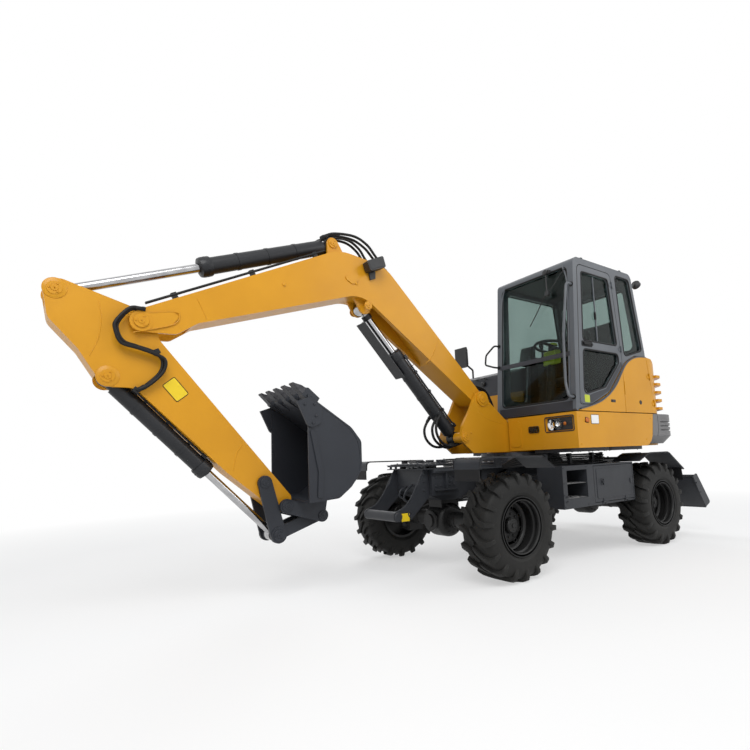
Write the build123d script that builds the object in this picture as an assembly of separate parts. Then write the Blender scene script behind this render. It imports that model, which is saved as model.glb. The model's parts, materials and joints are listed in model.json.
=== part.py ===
from build123d import *
import os
from math import atan2, cos, degrees, hypot, pi, radians, sin, sqrt, tan

# Wheeled excavator with a single blade, a cab on the left and a backhoe front.
# Millimetres. The machine faces -Y, its left side is +X, the ground is z = 0.
# While it is built, y = 0 is midway between the axles. It is stored with its
# origin under the centre of its outline.

# Wheels and axles
WHEELBASE = 2120
TRACK = 1574
TYRE_R = 415
TYRE_W = 298
LUG_H = 26
LUGS = 18
LUG_THICK = 36
LUG_SKEW = 32
TYRE_SIDES = LUGS
RIM_R = 212
RIM_LIP = 14
RIM_WALL = 8
RIM_DISH = 12
HUB_R = 62
HUB_REACH = 46
KING_X = 588
STEER_HOUSING_R = 92
AXLE_TUBE_R = 68
DIFF_R = 150
DIFF_W = 250
WHEEL_GAP = 0.3
KING_GAP = 0.3
SEAT = 0.3

# Chassis
FRAME_HALF = 262
FRAME_TOP = 850
FRAME_LOW = 600
FRAME_FRONT = 1400
FRAME_REAR = 1400
PEDESTAL_R = 420
PEDESTAL_TOP = 905
RING_R = 400
RING_TOP = 984
SLEW_Y = 0
NOSE_Y = 1722
NOSE_Z = 508
NOSE_R = 40
CRADLE_HALF = 226
CRADLE_PLATE = 20
DECK_HALF = 300
DECK_Z = 872
DECK_T = 12
HATCH_Z = 896
HATCH_T = 10
BOX_IN = 600
BOX_OUT = 872
BOX_FRONT = 462
BOX_REAR = 636
BOX_LOW = 482
BOX_TOP = 846
BOX_WALL = 8
FENDER_IN = 634
FENDER_OUT = 936
FENDER_T = 6

# Blade
BLADE_HALF = 950
BLADE_TOP = (1735, 655)
BLADE_FOOT = (1931, 304)
BLADE_BELLY = 26
BLADE_WING = 112
BLADE_T = 14
BLADE_BEAM_HALF = 640
BLADE_PIVOT = (1345, 590)
BLADE_ARM_X = 300
BLADE_ARM_W = 60
BLADE_ROD_PIN = (1700, 560)
BLADE_FOOT_PIN = (1230, 800)
BLADE_SLOT = 58
BLADE_PIN_R = 30
RAM_PIN_R = 20

# Superstructure
PLATFORM_Z = 1000
PLATFORM_T = 46
BODY_HALF = 965
BODY_FRONT = -330
BELT_Z = 1312
SKIRT_T = 22
SKIRT_LOW = 996
SKIRT_REAR = 938
SKIRT_LEAN = 58
SKIRT_CORNER_R = 150
SEAM = 6
PLATE_REAR = 828
LAMP_IN = 622
LAMP_OUT = 930
LAMP_LOW = 1151
LAMP_HIGH = 1281
LAMP_DEPTH = 14
PANEL_IN = 186
PANEL_OUT = 330
PRESS = 5
RIGHT_FRONT = 130
BRACKET_HALF = 126
BRACKET_T = 30
TAIL_R = 1680
TAIL_CORNER_R = 350
WEIGHT_LOW = 1016
WEIGHT_WALL = 130
WEIGHT_CHAMFER = 78
GROOVE_Y = 1022
SLOT_HEIGHTS = (1151, 1192, 1233)
SLOT_IN = 520
HOOD_FRONT = 908
HOOD_R = 1476
HOOD_SEAM_LOW = 1013
HOOD_BEND_Z = 1780
HOOD_SLOPE_Y = 1010
HOOD_REAR_Z = 1600
LOUVRE_REACH = 56
LOUVRE_T = 26
LOUVRE_HEIGHTS = (1373, 1457, 1541, 1625, 1705)
LOUVRE_IN = 520
LOUVRE_FRONT = 1046
CASE_LOW = 1646
CASE_TOP = 1900
BULKHEAD_Y = 896.3
BULKHEAD_T = 6
HOOD_TOP = 1888
PANEL_T = 24
SIDE_SEAM = 452

# Cab
CAB_LEFT = 960
CAB_RIGHT = 22
CAB_LOW = 1320
CAB_TOP = 2736
CAB_FRONT_LOW = -322
CAB_FRONT_TOP = -204
CAB_REAR = 896
CAB_BEND = 1934
CAB_RAKE = 146
SCREEN_BAR_Z = 1833
CAB_WALL = 46
CAB_EDGE_R = 70
DOOR_REAR = 468
DOOR_GAP = 6
PILLAR = 62
HINGE_R = 7
HINGE_PIN = 4
HINGE_OUT = HINGE_R + 0.5
SIDE_HINGE_Z = (1420, 1690)
SIDE_HINGE_IN = 4
GLASS_T = 6
PANE_GAP = 0.3

# Pins of the backhoe front, as (y, z)
BOOM_FOOT = (-662, 1503)
BOOM_NOSE = (-3537, 1887)
ARM_TOP = (-3980, 2034)
ARM_TIP = (-2607, 669)
LINK_ON_ARM = (-2752, 840)
LINK_JOINT = (-2658, 473)
LINK_ON_BUCKET = (-2336, 579)
ARM_CYL_BASE = (-2160, 2729)
BUCKET_CYL_BASE = (-3704, 1534)
BOOM_CYL_BASE = (-900, 1137)
BOOM_CYL_TOP = (-1872, 2240)

BOOM_HALF = 120
BOOM_NOSE_TOP = (-3577, 1949)
BOOM_CREST = (-2130, 2665)
PIPE_X = (100, 117)
PIPE_R = 7
PIPE_START = (130, -26)
PIPE_END = (1530, -26)
PIPE_CLAMPS = (210, 760, 1330)
FORK_T = 22
ARM_HALF = 88
BOOM_PIN_R = 32
FIT = 0.06
GUARD_START = 92
GUARD_END = 680
GUARD_GAP = 84
GUARD_HALF = 66
EYE_SLOT = 48
FOOT_SLOT = 60
BOSS_R = 62
EAR_T = 20
BUCKET_HALF = 345
BUCKET_T = 14
TOOTH_PITCH = 150
TOOTH_W = 62
TEETH = 5
TOOTH_REACH = 132
BUCKET_EAR_X = 124
BUCKET_EAR_T = 22
GUIDE_X = 96
GUIDE_T = 20


def point(pair, x=0.0):
    """A pin given as (y, z), placed at x."""
    return Vector(x, pair[0], pair[1])


def face_of(corners):
    """Face on a sketch plane from (u, v, radius) corners, rounded where radius is above 0."""
    count = len(corners)
    stops = []
    for i, (u, v, r) in enumerate(corners):
        here = Vector(u, v)
        back = (Vector(*corners[i - 1][:2]) - here).normalized()
        ahead = (Vector(*corners[(i + 1) % count][:2]) - here).normalized()
        half = radians(back.get_angle(ahead)) / 2
        if r <= 0:
            stops.append((here, None, here))
            continue
        run = r / tan(half)
        middle = (back + ahead).normalized()
        mid = here + middle * (r / sin(half) - r)
        stops.append((here + back * run, mid, here + ahead * run))
    edges = []
    for i, (start, mid, end) in enumerate(stops):
        if mid is not None:
            edges.append(ThreePointArc(start, mid, end))
        following = stops[(i + 1) % count][0]
        if (following - end).length > 0.01:
            edges.append(Line(end, following))
    return make_face(edges)


def side_slab(corners, x_low, x_high):
    """Slab between two x planes with a side-view outline of (y, z, radius) corners."""
    face = Plane.YZ.offset(x_low) * face_of(corners)
    return extrude(face, amount=x_high - x_low, dir=(1, 0, 0))


def pane(corners, x_low):
    """Glass pane that leaves a narrow gap all round in a window cut from the same corners."""
    face = Plane.YZ.offset(x_low) * offset(face_of(corners), -PANE_GAP)
    return extrude(face, amount=GLASS_T, dir=(1, 0, 0))


def plan_slab(corners, z_low, z_high):
    """Slab between two heights with a plan outline of (x, y, radius) corners."""
    face = Plane.XY.offset(z_low) * face_of(corners)
    return extrude(face, amount=z_high - z_low, dir=(0, 0, 1))


def block(x0, x1, y0, y1, z0, z1):
    """Block between two corners."""
    size = Box(abs(x1 - x0), abs(y1 - y0), abs(z1 - z0))
    return Pos((x0 + x1) / 2, (y0 + y1) / 2, (z0 + z1) / 2) * size


def tube(start, end, radius):
    """Round bar from start to end."""
    run = end - start
    return extrude(Plane(origin=start, z_dir=run.normalized()) * Circle(radius), amount=run.length)


def cross(pair, radius, x_low, x_high):
    """Round bar along x through a pin."""
    return tube(point(pair, x_low), point(pair, x_high), radius)


def strap(discs, x_low, x_high):
    """Plate between two x planes with the hull of (y, z, radius) discs as its outline."""
    rims = []
    for y, z, r in discs:
        rims += (Pos(y, z) * Circle(r)).edges()
    face = Plane.YZ.offset(x_low) * make_hull(rims)
    return extrude(face, amount=x_high - x_low, dir=(1, 0, 0))


def twin(solid):
    """A piece and its mirror image on the other side."""
    return solid + mirror(solid, Plane.YZ)


def hinge_halves(centre, along, reach, fixed_reach=40):
    """Fixed half with its pin and moving half of a hinge.

    The pin runs along one direction, and the moving half reaches out in the other.
    """
    place = Plane(origin=centre, x_dir=reach, z_dir=along)
    leaf_y = -HINGE_R + 1
    moving = Cylinder(HINGE_R, 28) + Pos(20, leaf_y, 0) * Box(40, 5, 28)
    moving -= Cylinder(HINGE_PIN + FIT, 30)
    fixed = Cylinder(HINGE_PIN, 60)
    for end in (-1, 1):
        fixed += Pos(0, 0, end * 23) * Cylinder(HINGE_R, 14)
        fixed += Pos(-fixed_reach / 2, leaf_y, end * 23) * Box(fixed_reach, 5, 14)
    return place * fixed, place * moving


def toward(start, end, distance):
    """A (y, z) point at a distance from start towards end."""
    dy = end[0] - start[0]
    dz = end[1] - start[1]
    length = hypot(dy, dz)
    return (start[0] + dy * distance / length, start[1] + dz * distance / length)


def gap(start, end):
    """Distance between two (y, z) points."""
    return hypot(end[0] - start[0], end[1] - start[1])


def offset_points(start, end, along, across):
    """A (y, z) point measured along the line from start to end and square to it."""
    length = gap(start, end)
    uy = (end[0] - start[0]) / length
    uz = (end[1] - start[1]) / length
    return (start[0] + uy * along - uz * across, start[1] + uz * along + uy * across)


# Wheels

def ring_solid(rings, sides):
    """Many-sided solid ring about X from the (x, radius) corners of its section, all faces flat."""
    def corner(ring, i):
        turn = 2 * pi * i / sides
        return (ring[0], ring[1] * sin(turn), ring[1] * cos(turn))

    faces = []
    for first, second in zip(rings, rings[1:] + rings[:1]):
        for i in range(sides):
            points = [corner(first, i), corner(second, i), corner(second, i + 1), corner(first, i + 1)]
            faces.append(Face(Wire.make_polygon(points, close=True)))
    return Solid(Shell(faces))



def tyre(x, y, outboard):
    """Many-sided tyre with two rows of skewed lugs that run down over its shoulders."""
    half = TYRE_W / 2
    carcass_r = TYRE_R - LUG_H
    bead = (RIM_R + 0.4) / cos(pi / TYRE_SIDES)
    section = [
        # x, radius
        (-half, carcass_r - 72), (-half + 20, carcass_r), (half - 20, carcass_r), (half, carcass_r - 72),
        (half, bead + 62), (half - 22, bead), (-half + 22, bead), (-half, bead + 62),
    ]
    body = ring_solid(section, TYRE_SIDES)
    step = radians(180 / LUGS)
    sweep = (half * sin(radians(LUG_SKEW)) + LUG_THICK * cos(radians(LUG_SKEW))) / 2
    top = (TYRE_R - sweep * sin(step)) / cos(step)
    profile = [(-half / 2 + 6, top, 0), (half / 2 - 20, top, 0), (half / 2 + 8, top - 34, 0),
               (half / 2 + 2, top - 92, 0), (-half / 2 + 6, top - 60, 0)]
    for row in (-1, 1):
        for i in range(LUGS):
            turn = 360 * (i + (0.5 if row > 0 else 0)) / LUGS
            lug = extrude(Plane.XZ * face_of(profile), amount=LUG_THICK / 2, both=True)
            lug = Pos(half / 2, 0, 0) * Rot(0, 0, LUG_SKEW) * lug
            if row < 0:
                lug = Rot(0, 0, 180) * lug
            body += Rot(turn, 0, 0) * lug
    if outboard < 0:
        body = mirror(body, Plane.YZ)
    return Pos(x, y, TYRE_R) * body



def rim(x, y, outboard):
    """Dished steel wheel with its hub cap, open to the outside."""
    half = TYRE_W / 2 - 12
    wall_in = RIM_R - RIM_WALL
    dish = -RIM_DISH
    barrel = Cylinder(RIM_R, 2 * half) - Cylinder(wall_in, 2 * half + 2)
    for end in (-1, 1):
        lip = Cylinder(RIM_R + RIM_LIP, 6) - Cylinder(wall_in, 8)
        barrel += Pos(0, 0, end * (half + 3)) * lip
    disc = Pos(0, 0, dish) * Cylinder(wall_in + 1, 12)
    hub = Pos(0, 0, dish) * Cylinder(HUB_R, HUB_REACH, align=(Align.CENTER, Align.CENTER, Align.MIN))
    flange = Pos(0, 0, dish) * Cylinder(HUB_R + 48, 18, align=(Align.CENTER, Align.CENTER, Align.MIN))
    body = Rot(0, 90, 0) * (barrel + disc + flange + hub)
    if outboard < 0:
        body = mirror(body, Plane.YZ)
    return Pos(x, y, TYRE_R) * body


WHEEL_FACE = TRACK / 2 - RIM_DISH - 6 - WHEEL_GAP


def differential(y):
    """Axle beam with its round drive casing."""
    beam = tube(Vector(-KING_X + 118, y, TYRE_R), Vector(KING_X - 118, y, TYRE_R), AXLE_TUBE_R)
    casing = Rot(0, 90, 0) * Cylinder(DIFF_R, DIFF_W)
    casing = fillet(casing.edges().filter_by(GeomType.CIRCLE), 60)
    nose = tube(Vector(0, y, TYRE_R), Vector(0, y - DIFF_R * 1.35 * (1 if y > 0 else -1), TYRE_R), 62)
    return beam + Pos(0, y, TYRE_R) * casing + nose


def front_axle():
    """Steering axle: beam, drive casing, king-pin yokes and the centre pivot."""
    y = -WHEELBASE / 2
    body = differential(y)
    for side in (-1, 1):
        arm = block(side * (KING_X - 160), side * (KING_X - 118), y - 78, y + 78, TYRE_R - 132, TYRE_R + 132)
        for up in (-1, 1):
            low = TYRE_R + up * 104
            high = TYRE_R + up * 132
            ear = block(side * (KING_X - 160), side * KING_X, y - 58, y + 58, low, high)
            ear += tube(Vector(side * KING_X, y, low), Vector(side * KING_X, y, high), 58)
            arm += ear
        body += arm
    pivot = block(-90, 90, y - 100, y + 100, TYRE_R + DIFF_R - 40, FRAME_LOW - SEAT)
    return body + pivot


def knuckle(side):
    """Steering knuckle with its king pins and wheel-end housing."""
    y = -WHEELBASE / 2
    centre = Vector(side * KING_X, y, TYRE_R)
    reach = Vector(0, 0, 104 - KING_GAP)
    body = tube(centre - reach, centre + reach, STEER_HOUSING_R * 0.72)
    inner = Vector(side * (KING_X - 70), y, TYRE_R)
    outer = Vector(side * WHEEL_FACE, y, TYRE_R)
    body += tube(inner, outer, STEER_HOUSING_R)
    lever = block(side * (KING_X - 40), side * (KING_X + 20), y + 60, y + 190, TYRE_R - 20, TYRE_R + 14)
    return body + lever


def rear_axle():
    """Rigid rear axle with its wheel-end housings and frame pads."""
    y = WHEELBASE / 2
    body = differential(y)
    for side in (-1, 1):
        inner = Vector(side * (KING_X - 130), y, TYRE_R)
        outer = Vector(side * WHEEL_FACE, y, TYRE_R)
        body += tube(inner, outer, STEER_HOUSING_R)
        body += block(side * 140, side * 196, y - 70, y + 70, TYRE_R, FRAME_LOW - SEAT)
    return body


# Undercarriage

def chassis():
    """Box frame with the round seat for the slewing ring."""
    rear = FRAME_REAR
    body = side_slab(
        [(-FRAME_FRONT, FRAME_TOP, 0), (-FRAME_FRONT, 660, 60), (-1240, FRAME_LOW, 60),
         (1240, FRAME_LOW, 60), (rear, 640, 60), (rear, FRAME_TOP, 0)],
        -FRAME_HALF + 60, FRAME_HALF - 60)
    body += side_slab(
        [(-820, FRAME_TOP, 0), (-820, 560, 80), (820, 560, 80), (820, FRAME_TOP, 0)],
        -FRAME_HALF, FRAME_HALF)
    body += block(-FRAME_HALF, FRAME_HALF, -FRAME_FRONT + 6, -1108, 650, FRAME_TOP)
    top = plan_slab(
        [(-DECK_HALF, -FRAME_FRONT, 40), (DECK_HALF, -FRAME_FRONT, 40), (DECK_HALF + 90, 0, 200),
         (DECK_HALF, rear, 40), (-DECK_HALF, rear, 40), (-DECK_HALF - 90, 0, 200)],
        FRAME_TOP, FRAME_TOP + 20)
    seat = Pos(0, SLEW_Y, (FRAME_TOP + PEDESTAL_TOP) / 2) * Cylinder(PEDESTAL_R, PEDESTAL_TOP - FRAME_TOP)
    body += top + seat
    for side in (-1, 1):
        for y in (-300, 420):
            body += block(side * (FRAME_HALF - 2), side * (BOX_IN - SEAT), y - 40, y + 40, 640, 760)
        for y in (-1010, 1010):
            body += block(side * (DECK_HALF - 40), side * (FENDER_IN + 40), y - 30, y + 30, 869, 892)
            body += block(side * (DECK_HALF - 40), side * DECK_HALF, y - 30, y + 30, FRAME_TOP, 892)
        ear = side_slab(
            [(FRAME_REAR - 240, FRAME_LOW + 20, 0), (BLADE_PIVOT[0] + 70, BLADE_PIVOT[1] - 70, 60),
             (BLADE_PIVOT[0] + 70, FRAME_TOP + 10, 0), (FRAME_REAR - 240, FRAME_TOP + 10, 0)],
            FRAME_HALF - 64, BLADE_ARM_X - BLADE_ARM_W / 2 - 8)
        ear -= cross(BLADE_PIVOT, BLADE_PIN_R + FIT, 0, BLADE_ARM_X)
        if side < 0:
            ear = mirror(ear, Plane.YZ)
        body += ear
    slot = block(-BLADE_SLOT, BLADE_SLOT, BLADE_FOOT_PIN[0] - 70, FRAME_REAR + 10, 400, FRAME_TOP + 30)
    body -= slot
    body += cross(BLADE_FOOT_PIN, RAM_PIN_R, -BLADE_SLOT - 2, BLADE_SLOT + 2)
    return body


def front_cradle():
    """Two swept side plates that end in a round cross bar."""
    body = None
    plate = side_slab(
        [(-FRAME_FRONT - SEAT, FRAME_TOP + 19, 0), (-FRAME_FRONT - 40, FRAME_TOP + 19, 0),
         (-1500, 760, 200), (-1640, 560, 200), (-NOSE_Y - NOSE_R, NOSE_Z + NOSE_R, 38),
         (-NOSE_Y - NOSE_R, NOSE_Z - NOSE_R, 38), (-1600, NOSE_Z - NOSE_R, 60), (-FRAME_FRONT - SEAT, 640, 0)],
        CRADLE_HALF - CRADLE_PLATE, CRADLE_HALF)
    body = twin(plate)
    body += tube(Vector(-CRADLE_HALF, -NOSE_Y, NOSE_Z), Vector(CRADLE_HALF, -NOSE_Y, NOSE_Z), NOSE_R)
    body += block(-CRADLE_HALF, CRADLE_HALF, -FRAME_FRONT - 24, -FRAME_FRONT - SEAT, 680, FRAME_TOP + 19)
    return body


def front_deck():
    """Raised tread plate over the front of the frame on four feet."""
    low = FRAME_TOP + 20
    body = block(-DECK_HALF + 20, DECK_HALF - 20, -1470, -500, HATCH_Z, HATCH_Z + HATCH_T)
    for x in (-220, 220):
        for y in (-1340, -620):
            body += block(x - 20, x + 20, y - 20, y + 20, low, HATCH_Z)
    return body


def fenders():
    """Four mudguards, each one bent plate."""
    front_top = 950
    rear_top = 924
    front = side_slab(
        [(-1476, 866, 0), (-1470, front_top, 40), (-780, front_top - 6, 60), (-636, 848, 0),
         (-641, 843, 0), (-783, front_top - 12, 54), (-1464, front_top - FENDER_T, 34), (-1470, 866, 0)],
        FENDER_IN, FENDER_OUT)
    rear = side_slab(
        [(664, 852, 0), (852, rear_top, 80), (1236, rear_top, 90), (1540, 734, 0),
         (1535, 729, 0), (1233, rear_top - FENDER_T, 84), (854, rear_top - FENDER_T, 74), (667, 847, 0)],
        FENDER_IN, FENDER_OUT)
    leg = block(FENDER_IN + 4, FENDER_IN + 36, -1038, -982, 892, front_top - 5)
    leg2 = block(FENDER_IN + 4, FENDER_IN + 36, 982, 1038, 892, rear_top - 3)
    solids = []
    for solid in (front + leg, rear + leg2):
        solids.append(solid)
        solids.append(mirror(solid, Plane.YZ))
    return Compound(children=solids)


def tool_hinges():
    """Both hinges of a tool box door, each as fixed and moving half."""
    x = BOX_OUT + HINGE_OUT
    return [hinge_halves(Vector(x, y, 502.5), Vector(0, 1, 0), Vector(0, 0, 1), 20) for y in (120, 480)]


def side_box(side):
    """Step box and tool box on one side of the frame."""
    body = block(BOX_IN, BOX_OUT, -BOX_FRONT, BOX_REAR, BOX_LOW, BOX_TOP)
    step = block(BOX_IN + 60, BOX_OUT + 1, -BOX_FRONT + 56, -118, 566, 806)
    tools = block(BOX_IN + BOX_WALL, BOX_OUT + 1, -20, BOX_REAR - 14, 500, 832)
    body = body - step - tools
    for fixed, moving in tool_hinges():
        body += fixed
    if side < 0:
        body = mirror(body, Plane.YZ)
    return body


def tool_door(side):
    """Flat door of the tool box."""
    body = block(BOX_OUT - 22, BOX_OUT, -20 + 5, BOX_REAR - 14 - 5, 505, 827)
    latch = block(BOX_OUT, BOX_OUT + 10, 560, 600, 650, 690)
    body += latch
    for fixed, moving in tool_hinges():
        body += moving
    if side < 0:
        body = mirror(body, Plane.YZ)
    return body


def drive_line():
    """Transfer gearbox under the frame and the two propeller shafts."""
    box = block(-110, 110, -150, 150, 360, 560 - SEAT)
    box = fillet(box.edges().filter_by(Axis.X), 40)
    front_end = -WHEELBASE / 2 + DIFF_R * 1.35 + SEAT
    rear_end = WHEELBASE / 2 - DIFF_R * 1.35 - SEAT
    front = tube(Vector(0, -149, TYRE_R), Vector(0, front_end, TYRE_R), 36)
    rear = tube(Vector(0, 149, TYRE_R), Vector(0, rear_end, TYRE_R), 36)
    return box + front + rear


def slew_ring():
    """Slewing bearing between frame and platform."""
    low = PEDESTAL_TOP + 0.3
    ring = Pos(0, SLEW_Y, (low + RING_TOP) / 2) * Cylinder(RING_R, RING_TOP - low)
    return ring - Pos(0, SLEW_Y, RING_TOP) * Cylinder(RING_R - 90, 60)


# Blade

def blade():
    """Curved blade with end plates, cross beam, cutting edge, two arms and the ears of its cylinder."""
    length = gap(BLADE_TOP, BLADE_FOOT)

    def at(along, across):
        return offset_points(BLADE_TOP, BLADE_FOOT, along, across)

    outer = ThreePointArc(at(0, 0), at(length / 2, -BLADE_BELLY), at(length, 0))
    inner = ThreePointArc(at(0, BLADE_T), at(length / 2, BLADE_T - BLADE_BELLY), at(length, BLADE_T))
    section = make_face([outer, inner, Line(outer @ 0, inner @ 0), Line(outer @ 1, inner @ 1)])
    body = extrude(Plane.YZ.offset(-BLADE_HALF) * section, amount=2 * BLADE_HALF, dir=(1, 0, 0))
    wing = side_slab(
        [(*at(0, -40), 0), (*at(0, 46), 20), (*at(length * 0.35, 70), 60), (*at(length + 18, BLADE_WING), 20),
         (*at(length, -4), 0), (*at(length / 2, -BLADE_BELLY - 6), 200)],
        BLADE_HALF - 12, BLADE_HALF)
    body += twin(wing)
    body += side_slab(
        [(*at(length - 84, -5), 0), (*at(length - 84, 22), 0), (*at(length + 20, 24), 0), (*at(length + 20, 4), 0)],
        -BLADE_HALF + 12, BLADE_HALF - 12)
    body += side_slab(
        [(1705, 490, 14), (1805, 505, 0), (1850, 400, 0), (1755, 375, 14)], -BLADE_BEAM_HALF, BLADE_BEAM_HALF)
    pivot = BLADE_PIVOT
    arm = strap([(*pivot, 56), (1765, 446, 52)], BLADE_ARM_X - BLADE_ARM_W / 2, BLADE_ARM_X + BLADE_ARM_W / 2)
    body += twin(arm)
    body += twin(cross(pivot, BLADE_PIN_R, FRAME_HALF - 58, BLADE_ARM_X))
    ear = strap([(*BLADE_ROD_PIN, 36), (1768, 500, 32)], 34, 50)
    body += twin(ear)
    return body



# Superstructure

def tail_slab(front, radius, inset, z_low, z_high):
    """Slab with the rounded tail's plan behind a front line, drawn in by inset.

    The back is an arc about the slew centre, joined to the straight sides by corner arcs.
    """
    half = BODY_HALF - inset
    centre_x = BODY_HALF - TAIL_CORNER_R
    centre_y = sqrt((radius - TAIL_CORNER_R) ** 2 - centre_x ** 2)
    turn = degrees(atan2(centre_y, centre_x))
    corner = TAIL_CORNER_R - inset
    edges = [
        Line((half, front), (half, centre_y)),
        CenterArc((centre_x, centre_y), corner, 0, turn),
        CenterArc((0, SLEW_Y), radius - inset, turn, 180 - 2 * turn),
        CenterArc((-centre_x, centre_y), corner, 180 - turn, turn),
        Line((-half, centre_y), (-half, front)),
        Line((-half, front), (half, front)),
    ]
    face = Plane.XY.offset(z_low) * make_face(edges)
    return extrude(face, amount=z_high - z_low, dir=(0, 0, 1))


def skirt_profile(front, grow):
    """Side-view corners of the lower body panels, grown by grow behind and below."""
    return [(front, SKIRT_LOW - grow, 0), (front, BELT_Z + grow, 0), (SKIRT_REAR + grow, BELT_Z + grow, 0),
            (SKIRT_REAR - SKIRT_LEAN + grow, SKIRT_LOW - grow, SKIRT_CORNER_R + grow)]


def hood_seam(grow):
    """Side-view corners of the hood's front edge from low to high, moved forward by grow."""
    return [(HOOD_SEAM_LOW - grow, BELT_Z + SEAM, 0), (HOOD_FRONT + 14 - grow, HOOD_BEND_Z, 300),
            (HOOD_FRONT - grow, HOOD_TOP, 0)]



def turntable():
    """Platform plate with the two bracket plates that carry the boom, and the cab's mounts."""
    side = BODY_HALF - SKIRT_T - SEAT
    front = BODY_FRONT + SKIRT_T + SEAT
    right_front = RIGHT_FRONT + SKIRT_T + SEAT
    plate = plan_slab(
        [(-side, right_front, 0), (-190, right_front, 0), (-190, front, 30), (side, front, 0),
         (side, PLATE_REAR, 0), (-side, PLATE_REAR, 0)],
        PLATFORM_Z, PLATFORM_Z + PLATFORM_T)
    plate += tail_slab(PLATE_REAR - 100, TAIL_R, WEIGHT_WALL + SEAT, PLATFORM_Z, PLATFORM_Z + PLATFORM_T)
    low = RING_TOP + SEAT
    seat = Pos(0, SLEW_Y, (low + PLATFORM_Z + 1) / 2) * Cylinder(RING_R - 60, PLATFORM_Z + 1 - low)
    body = plate + seat
    foot = BOOM_FOOT
    base = BOOM_CYL_BASE
    wall = side_slab(
        [(300, PLATFORM_Z, 0), (300, PLATFORM_Z + 120, 40), (BODY_FRONT + 20, 1270, 60), (foot[0] + 100, foot[1] - 30, 30),
         (foot[0] + 60, foot[1] + BOSS_R, 40), (foot[0] - 70, foot[1] + BOSS_R - 8, 40), (-815, 1400, 50),
         (base[0] - 20, base[1] + 110, 60), (base[0] - 56, base[1] - 20, 50), (-800, 992, 20), (-300, 992, 0)],
        BRACKET_HALF, BRACKET_HALF + BRACKET_T)
    wall += cross(foot, BOSS_R + 8, BRACKET_HALF, BRACKET_HALF + BRACKET_T + 14)
    wall += cross(base, 52, EYE_SLOT, BRACKET_HALF + BRACKET_T + 8)
    body += twin(wall)
    body += cross(foot, BOOM_PIN_R, -BRACKET_HALF - 2, BRACKET_HALF + 2)
    body += cross(base, BOOM_PIN_R, -BRACKET_HALF, BRACKET_HALF)
    for x in (170, 810):
        for y in (-190, 750):
            pad = Cylinder(45, CAB_LOW - SEAT - PLATFORM_Z - PLATFORM_T + 1, align=(Align.CENTER, Align.CENTER, Align.MIN))
            body += Pos(x, y, PLATFORM_Z + PLATFORM_T - 1) * pad
    return body



def seam_at(seam, z):
    """Y of the long straight stretch of the hood's front edge at a height."""
    low = seam[0]
    high = seam[1]
    return low[0] + (high[0] - low[0]) * (z - low[1]) / (high[1] - low[1])


def swept_side(x_low, x_high, grow):
    """Side-view slab under the swept line between the cab and the left panels, grown by grow."""
    rear = hood_seam(SEAM - grow)
    return side_slab(
        [(BODY_FRONT + 50 - grow, BELT_Z + 8 - grow, 0), (BODY_FRONT + 50 - grow, BELT_Z + 12 + grow, 0),
         (-100, 1370 + grow, 300), (200, 1490 + grow, 300), (520, 1810 + grow, 200), (700, HOOD_TOP - 6 + grow, 100),
         (rear[2][0], HOOD_TOP + grow, 0), rear[1], (rear[0][0], BELT_Z + 8 - grow, 0)],
        x_low, x_high)



def side_hinges():
    """Both hinges of the service door at its rear edge, each as place, fixed half and moving half.

    The fixed half goes inward through a notch in the door and then forward to the bulkhead.
    """
    seam = hood_seam(SEAM)
    low = seam[0]
    high = seam[1]
    length = gap(low, high)
    along = Vector(0, (high[0] - low[0]) / length, (high[1] - low[1]) / length)
    reach = Vector(0, -along.Z, along.Y)
    depth = HINGE_OUT + PANEL_T + 11
    hinges = []
    for z in SIDE_HINGE_Z:
        centre = Vector(BODY_HALF + HINGE_OUT, seam_at(seam, z) - SIDE_HINGE_IN, z)
        place = Plane(origin=centre, x_dir=reach, z_dir=along)
        fixed, moving = hinge_halves(centre, along, reach, 1)
        for end in (-1, 1):
            run = (centre.Y + end * 23 * along.Y - BULKHEAD_Y - BULKHEAD_T / 2) / along.Z
            arm = Pos(0, -depth / 2, end * 23) * Box(5, depth, 14)
            arm += Pos((run - 2.5) / 2, 4 - depth, end * 23) * Box(run + 2.5, 8, 14)
            fixed += place * arm
        hinges.append((place, fixed, moving))
    return hinges



def left_cover():
    """Fixed panel below the door."""
    whole = swept_side(BODY_HALF - PANEL_T, BODY_HALF, 0)
    return whole & block(0, 2 * BODY_HALF, -1000, SIDE_SEAM, 0, 3000)



def side_door():
    """Hinged service door behind the cab door, on the left, with a finger slot in its front edge."""
    whole = swept_side(BODY_HALF - PANEL_T + 5, BODY_HALF, 0)
    front = SIDE_SEAM + SEAM
    body = whole & block(0, 2 * BODY_HALF, front, TAIL_R, 0, 3000)
    slot = block(BODY_HALF - PANEL_T, BODY_HALF + 1, front - 1, front + 9, 1486, 1618)
    body -= fillet(slot.edges().filter_by(Axis.X), 4)
    for place, fixed, moving in side_hinges():
        body -= place * Pos(-5.5, -17, 0) * Box(29, 30, 72)
        body += moving
    return body



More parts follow.
